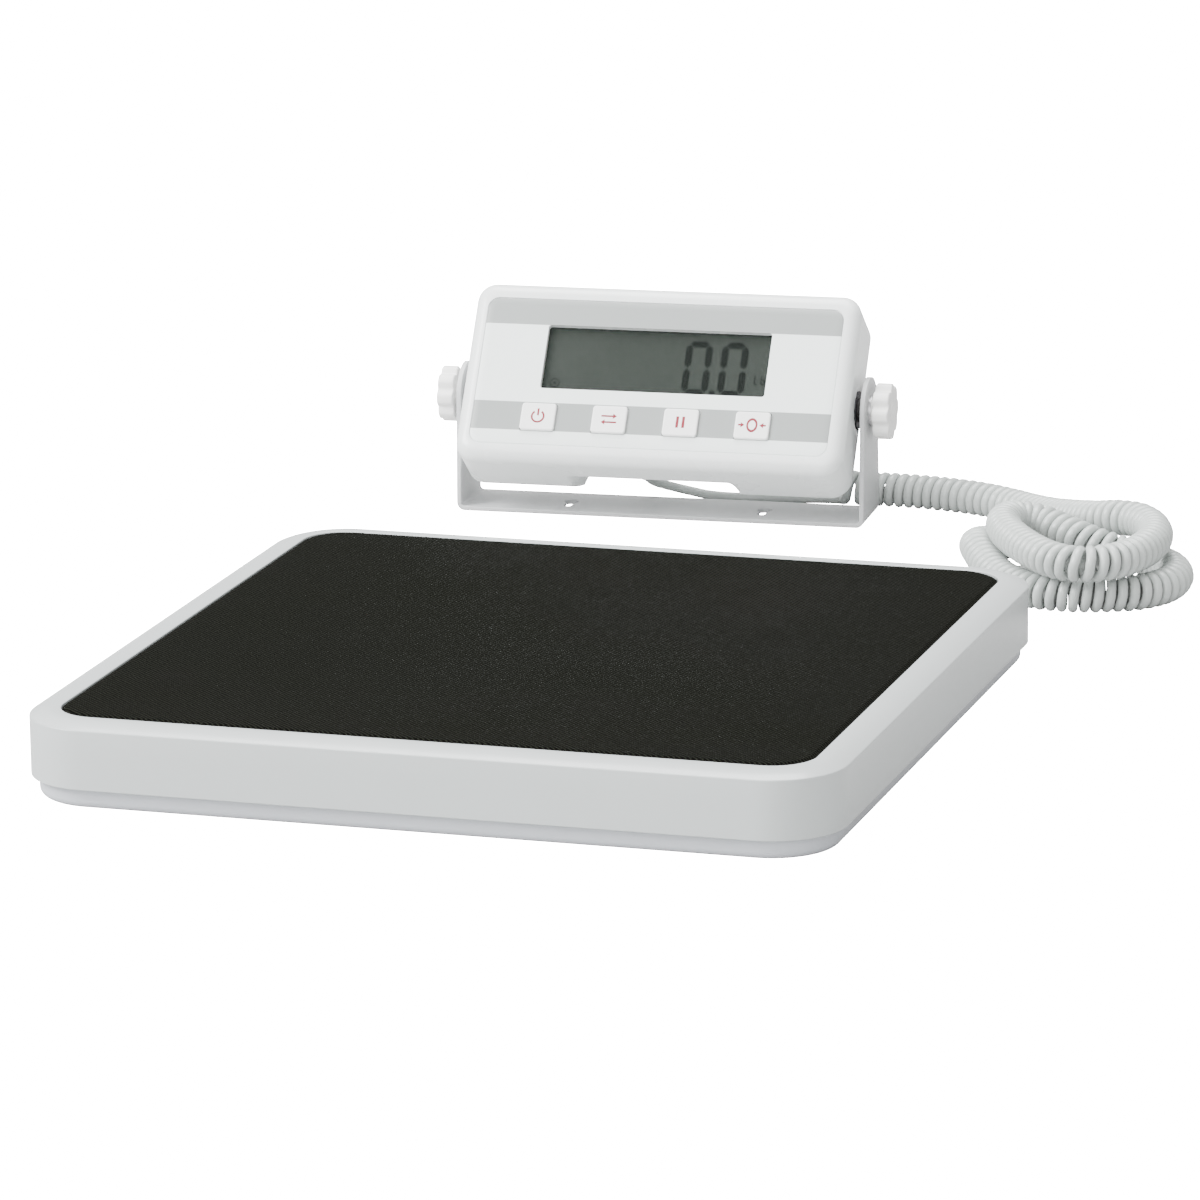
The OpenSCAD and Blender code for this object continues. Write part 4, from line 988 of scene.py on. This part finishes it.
ink_outlines = (figure("0", 10.6, 22.2, -5.4, 19.8, 1.45, 0.35)
                + figure("0", 26.2, 37.8, -5.4, 19.8, 1.45, 0.35)
                + [arc((24.2, -4.0), 1.35, 0, 345, 16)]
                + figure("L", 41.6, 43.6, 0.6, 5.2, 0.28, 0.08)
                + figure("b", 44.5, 46.5, 0.6, 5.2, 0.28, 0.08)
                + circle_band(np.array([-44.6, -2.1]), 1.9, 0.22)
                + [arc((-44.6, -2.1), 0.6, 0, 345, 12)])
build("segment_marks", prisms(ink_outlines, INNER_Y + 0.86, INNER_Y + 0.94), SEGMENT_INK, "head",
      "lcd_glass")
print("segments:", len(ink_outlines))

# %% [markdown]
# ## Buttons
#
# Four caps stand a little proud of the film. Each is a rounded rectangle whose front edge is
# softened, with a plain mark printed in dark red: a switch sign, two exchange arrows, two bars
# and a zero. The caps and their marks ride on the same body, so a mark goes in with its button.

# %% Make the caps and their marks
MARK_RED = finish("mark_red", (0.20, 0.008, 0.02), 0.4, drift=0.15, patches=300.0,
                  depth=0.000005)
CAP_FRONT, FLANGE_FRONT = FACE_Y - 1.2, INNER_Y + 0.2
cap_profile = np.vstack([
    [[4.0, CAP_FRONT]], [[0.9, CAP_FRONT + 0.02]], arc((0.6, CAP_FRONT + 0.6), 0.6, 260, 180, 6),
    [[0.0, FLANGE_FRONT], [-0.8, FLANGE_FRONT], [-0.8, FLANGE_FRONT + 1.0],
     [4.0, FLANGE_FRONT + 1.0]]])


def arrow(x0, x1, z):
    """A flat arrow from x0 to x1 at one height."""
    way = np.sign(x1 - x0)
    neck = x1 - way * 1.7
    return np.array([[x0, z - 0.38], [neck, z - 0.38], [neck, z - 1.2], [x1, z],
                     [neck, z + 1.2], [neck, z + 0.38], [x0, z + 0.38]])


def block(x0, x1, z0, z1):
    """A plain rectangle as an outline."""
    return np.array([[x0, z0], [x1, z0], [x1, z1], [x0, z1]])


MARKS = {
    "power": circle_band(np.zeros(2), 2.6, 0.42, 125.0, 415.0) + [block(-0.42, 0.42, 0.4, 3.6)],
    "units": [arrow(-3.4, 3.4, 1.4), arrow(3.4, -3.4, -1.4)],
    "hold": [block(-1.9, -0.7, -2.6, 2.6), block(0.7, 1.9, -2.6, 2.6)],
    "zero": circle_band(np.zeros(2), 2.0, 0.42, tall=1.35) + [arrow(-6.0, -3.2, 0.0),
                                                              arrow(6.0, 3.2, 0.0)],
}
for key, x in BUTTON_X.items():
    rings = across_display(inset_rings(BUTTON_W, BUTTON_H, 1.4, cap_profile, steps=6))
    stem = turned([(2.0, FLANGE_FRONT + 0.9), (2.0, FLANGE_FRONT + 2.4)], 16)[..., [0, 2, 1]]
    shift = [x, 0.0, BUTTON_UP]
    cap_shape = merged([loft(on_display(rings + shift)), loft(on_display(stem + shift))])
    build("cap_" + key, cap_shape, BUTTON_WHITE, "button_" + key, "button_plastic",
          "button_" + key)
    outlines = [outline + [x, BUTTON_UP] for outline in MARKS[key]]
    build("mark_" + key, prisms(outlines, CAP_FRONT - 0.03, CAP_FRONT + 0.05), MARK_RED,
          "button_" + key, "button_plastic")
print("caps:", ", ".join(BUTTON_X))

# %% [markdown]
# ## Knobs
#
# Each knob is a lobed wheel: eight flat-topped lobes with shallow valleys between them. Seen
# along its axis the outline is r(a) = R - d v(a)^2, where v is 0 on a lobe and 1 in a valley, and
# the profile softens both faces. A polar outline is simpler and smoother than eight cylinders
# joined to a hub.

# %% Make the knobs
KNOB_R, LOBES, VALLEY = 12.0, 8, 1.9
KNOB_START = 90.02


def lobe_outline(angle):
    """The outline's radius as a share of the full radius, from 1 on a lobe down into a valley."""
    wave = 0.5 - 0.5 * np.cos(LOBES * angle)
    return 1.0 - VALLEY / KNOB_R * wave**2.2


def knob_rings(steps=192):
    """Rings along the axis: hub, back face, rim and a front face dished towards the middle. The
    lobes fade from the rim to the middle as the cube of the radius."""
    profile = np.vstack([
        [[3.0, 0.0], [6.0, 0.0], [6.0, 1.5], [9.2, 1.55]],
        arc((11.2, 2.3), 0.8, -90, 0), arc((11.2, 7.7), 0.8, 0, 90),
        [[8.6, 8.5], [8.0, 8.2], [4.4, 8.1], [4.0, 8.45], [1.0, 8.45]]])
    angle = np.linspace(0, 2 * np.pi, steps, endpoint=False)
    share = (profile[:, 0] / KNOB_R)[:, None] ** 3
    radius = profile[:, :1] * (1 - share * (1 - lobe_outline(angle)[None, :]))
    along = np.repeat(profile[:, 1:], steps, axis=1)
    return np.stack([KNOB_START + along, radius * np.cos(angle), radius * np.sin(angle)], axis=-1)


for side, name in ((-1, "left"), (1, "right")):
    rings = on_stand(knob_rings() * [side, 1, 1] + [0.0, 0.0, PIVOT_Z])
    build("knob_wheel_" + name, loft(rings), KNOB_WHITE, "knob_" + name, "knob_plastic",
          "knob_" + name)
print("knobs have", LOBES, "lobes")

# %% [markdown]
# ## Strain reliefs
#
# Where the cable leaves a housing, a tapered sleeve with rings cut into it keeps it from bending
# sharply. It is a turned shape: a flange against the wall and then a cone with three grooves. The
# same profile serves both ends, at two lengths.

# %% Make the sleeves


def sleeve_profile(length):
    """Rows of (radius, distance): flange, then a cone from 4.6 to 2.7 mm with three grooves."""
    start = 1.6
    distance = np.linspace(start, length, 60)
    share = (distance - start) / (length - start)
    groove = np.sin(np.pi * np.clip(share * 4.2 - 0.3, 0, 3))**2
    radius = 4.6 - 1.9 * share - 0.45 * smooth_step(groove * 1.6)
    return np.vstack([[[3.4, -1.0], [3.4, 0.0], [4.7, 0.0], [5.0, 0.3], [5.0, 1.2], [4.7, 1.5]],
                      np.column_stack([radius, distance]), [[2.1, length]]])


def sleeve(length, place):
    """The sleeve's shape, with its axis turned from up to backwards and put at its place."""
    rings = turned(sleeve_profile(length), 32)
    return rings[..., [0, 2, 1]] + place


build("display_sleeve", loft(on_display(sleeve(12.0, [-12.0, BACK_Y, -22.0]))), CORD_GREY,
      "head", "cord_grey", "display_cord_gland")
build("platform_sleeve", loft(on_platform(sleeve(14.0, [63.5, PLATFORM_D / 2, 16.0]))),
      CORD_GREY, "base", "cord_grey", "base_cord_gland")

# %% [markdown]
# ## Finishes on the engineering parts
#
# The parts inside and below keep the shape that the engineering model gives them. They only need
# their finish, chosen from the record's slot for each.

# %% Give the other parts their finish
finish("battery_wrap", (0.16, 0.26, 0.32), 0.3, drift=0.2, patches=60.0, Metallic=0.6)
for part in frame["record"]["subparts"]:
    material = FINISHES.get(part["material_slot"])
    for material_slot in NODES[part["node"]].material_slots:
        if material:
            material_slot.material = material

# %% [markdown]
# ## Floor and light
#
# The floor runs out of view, and three large soft lamps and an even sky light the scale. Floor
# and sky look pale because the camera alone sees an added glow on them. The light that reaches
# the object is weaker, and the mid-grey floor throws little of it back up, so the white plastic
# keeps its shading. The price is that the floor shows no shadow.

# %% Floor, lamps and sky
FLOOR_GLOW, SKY_SEEN, SKY_LIGHT, FLOOR_HALF = 30.0, 34.0, 0.95, 20.0


def floor_material():
    """Plain mid grey with a faint drift, and a glow seen only by the camera."""
    material = finish("floor", (0.42, 0.42, 0.42), 0.7, drift=0.01, patches=2.0, grains=300.0,
                      rough_drift=0.05, depth=0)
    tree = material.node_tree
    glow = tree.nodes.new("ShaderNodeEmission")
    glow.inputs["Strength"].default_value = FLOOR_GLOW
    path = tree.nodes.new("ShaderNodeLightPath")
    seen_glow = tree.nodes.new("ShaderNodeMixShader")
    both = tree.nodes.new("ShaderNodeAddShader")
    tree.links.new(path.outputs["Is Camera Ray"], seen_glow.inputs[0])
    tree.links.new(glow.outputs[0], seen_glow.inputs[2])
    tree.links.new(tree.nodes["Principled BSDF"].outputs[0], both.inputs[0])
    tree.links.new(seen_glow.outputs[0], both.inputs[1])
    tree.links.new(both.outputs[0], tree.nodes["Material Output"].inputs["Surface"])
    return material


floor_mesh = bpy.data.meshes.new("floor")
floor_mesh.from_pydata([(x * FLOOR_HALF, y * FLOOR_HALF, 0.0)
                        for x, y in ((-1, -1), (1, -1), (1, 1), (-1, 1))], [], [(0, 1, 2, 3)])
floor_mesh.materials.append(floor_material())
floor = bpy.data.objects.new("floor", floor_mesh)
bpy.context.scene.collection.objects.link(floor)


def add_lamp(name, place, aim, size, power):
    """A square area lamp at a place, turned to face a point."""
    lamp = bpy.data.objects.new(name, bpy.data.lights.new(name, "AREA"))
    lamp.data.size, lamp.data.energy = size, power
    place, aim = np.array(place), np.array(aim)
    back = unit(place - aim)
    right = unit(np.cross([0.0, 0.0, 1.0], back))
    turn = np.column_stack([right, np.cross(back, right), back])
    lamp.matrix_world = Matrix.Translation(place) @ Matrix(turn.tolist()).to_4x4()
    bpy.context.scene.collection.objects.link(lamp)


MIDDLE = (0.08, -0.2, 0.05)
add_lamp("key", (-2.0, -1.6, 1.9), MIDDLE, 1.5, 215.0)
add_lamp("fill", (0.1, -3.0, 1.2), MIDDLE, 2.0, 75.0)
add_lamp("top", (-0.2, 0.3, 2.6), MIDDLE, 1.8, 150.0)

world = bpy.data.worlds.new("sky")
bpy.context.scene.world = world
world.use_nodes = True
sky_tree = world.node_tree
sky_tree.nodes.clear()
light_path = sky_tree.nodes.new("ShaderNodeLightPath")
lighting, seen = (sky_tree.nodes.new("ShaderNodeBackground") for _ in range(2))
for background, strength in ((lighting, SKY_LIGHT), (seen, SKY_SEEN)):
    background.inputs["Color"].default_value = (1.0, 1.0, 1.0, 1.0)
    background.inputs["Strength"].default_value = strength
mix = sky_tree.nodes.new("ShaderNodeMixShader")
sky_out = sky_tree.nodes.new("ShaderNodeOutputWorld")
sky_tree.links.new(light_path.outputs["Is Camera Ray"], mix.inputs[0])
sky_tree.links.new(lighting.outputs[0], mix.inputs[1])
sky_tree.links.new(seen.outputs[0], mix.inputs[2])
sky_tree.links.new(mix.outputs[0], sky_out.inputs[0])
print("lamps and sky ready")
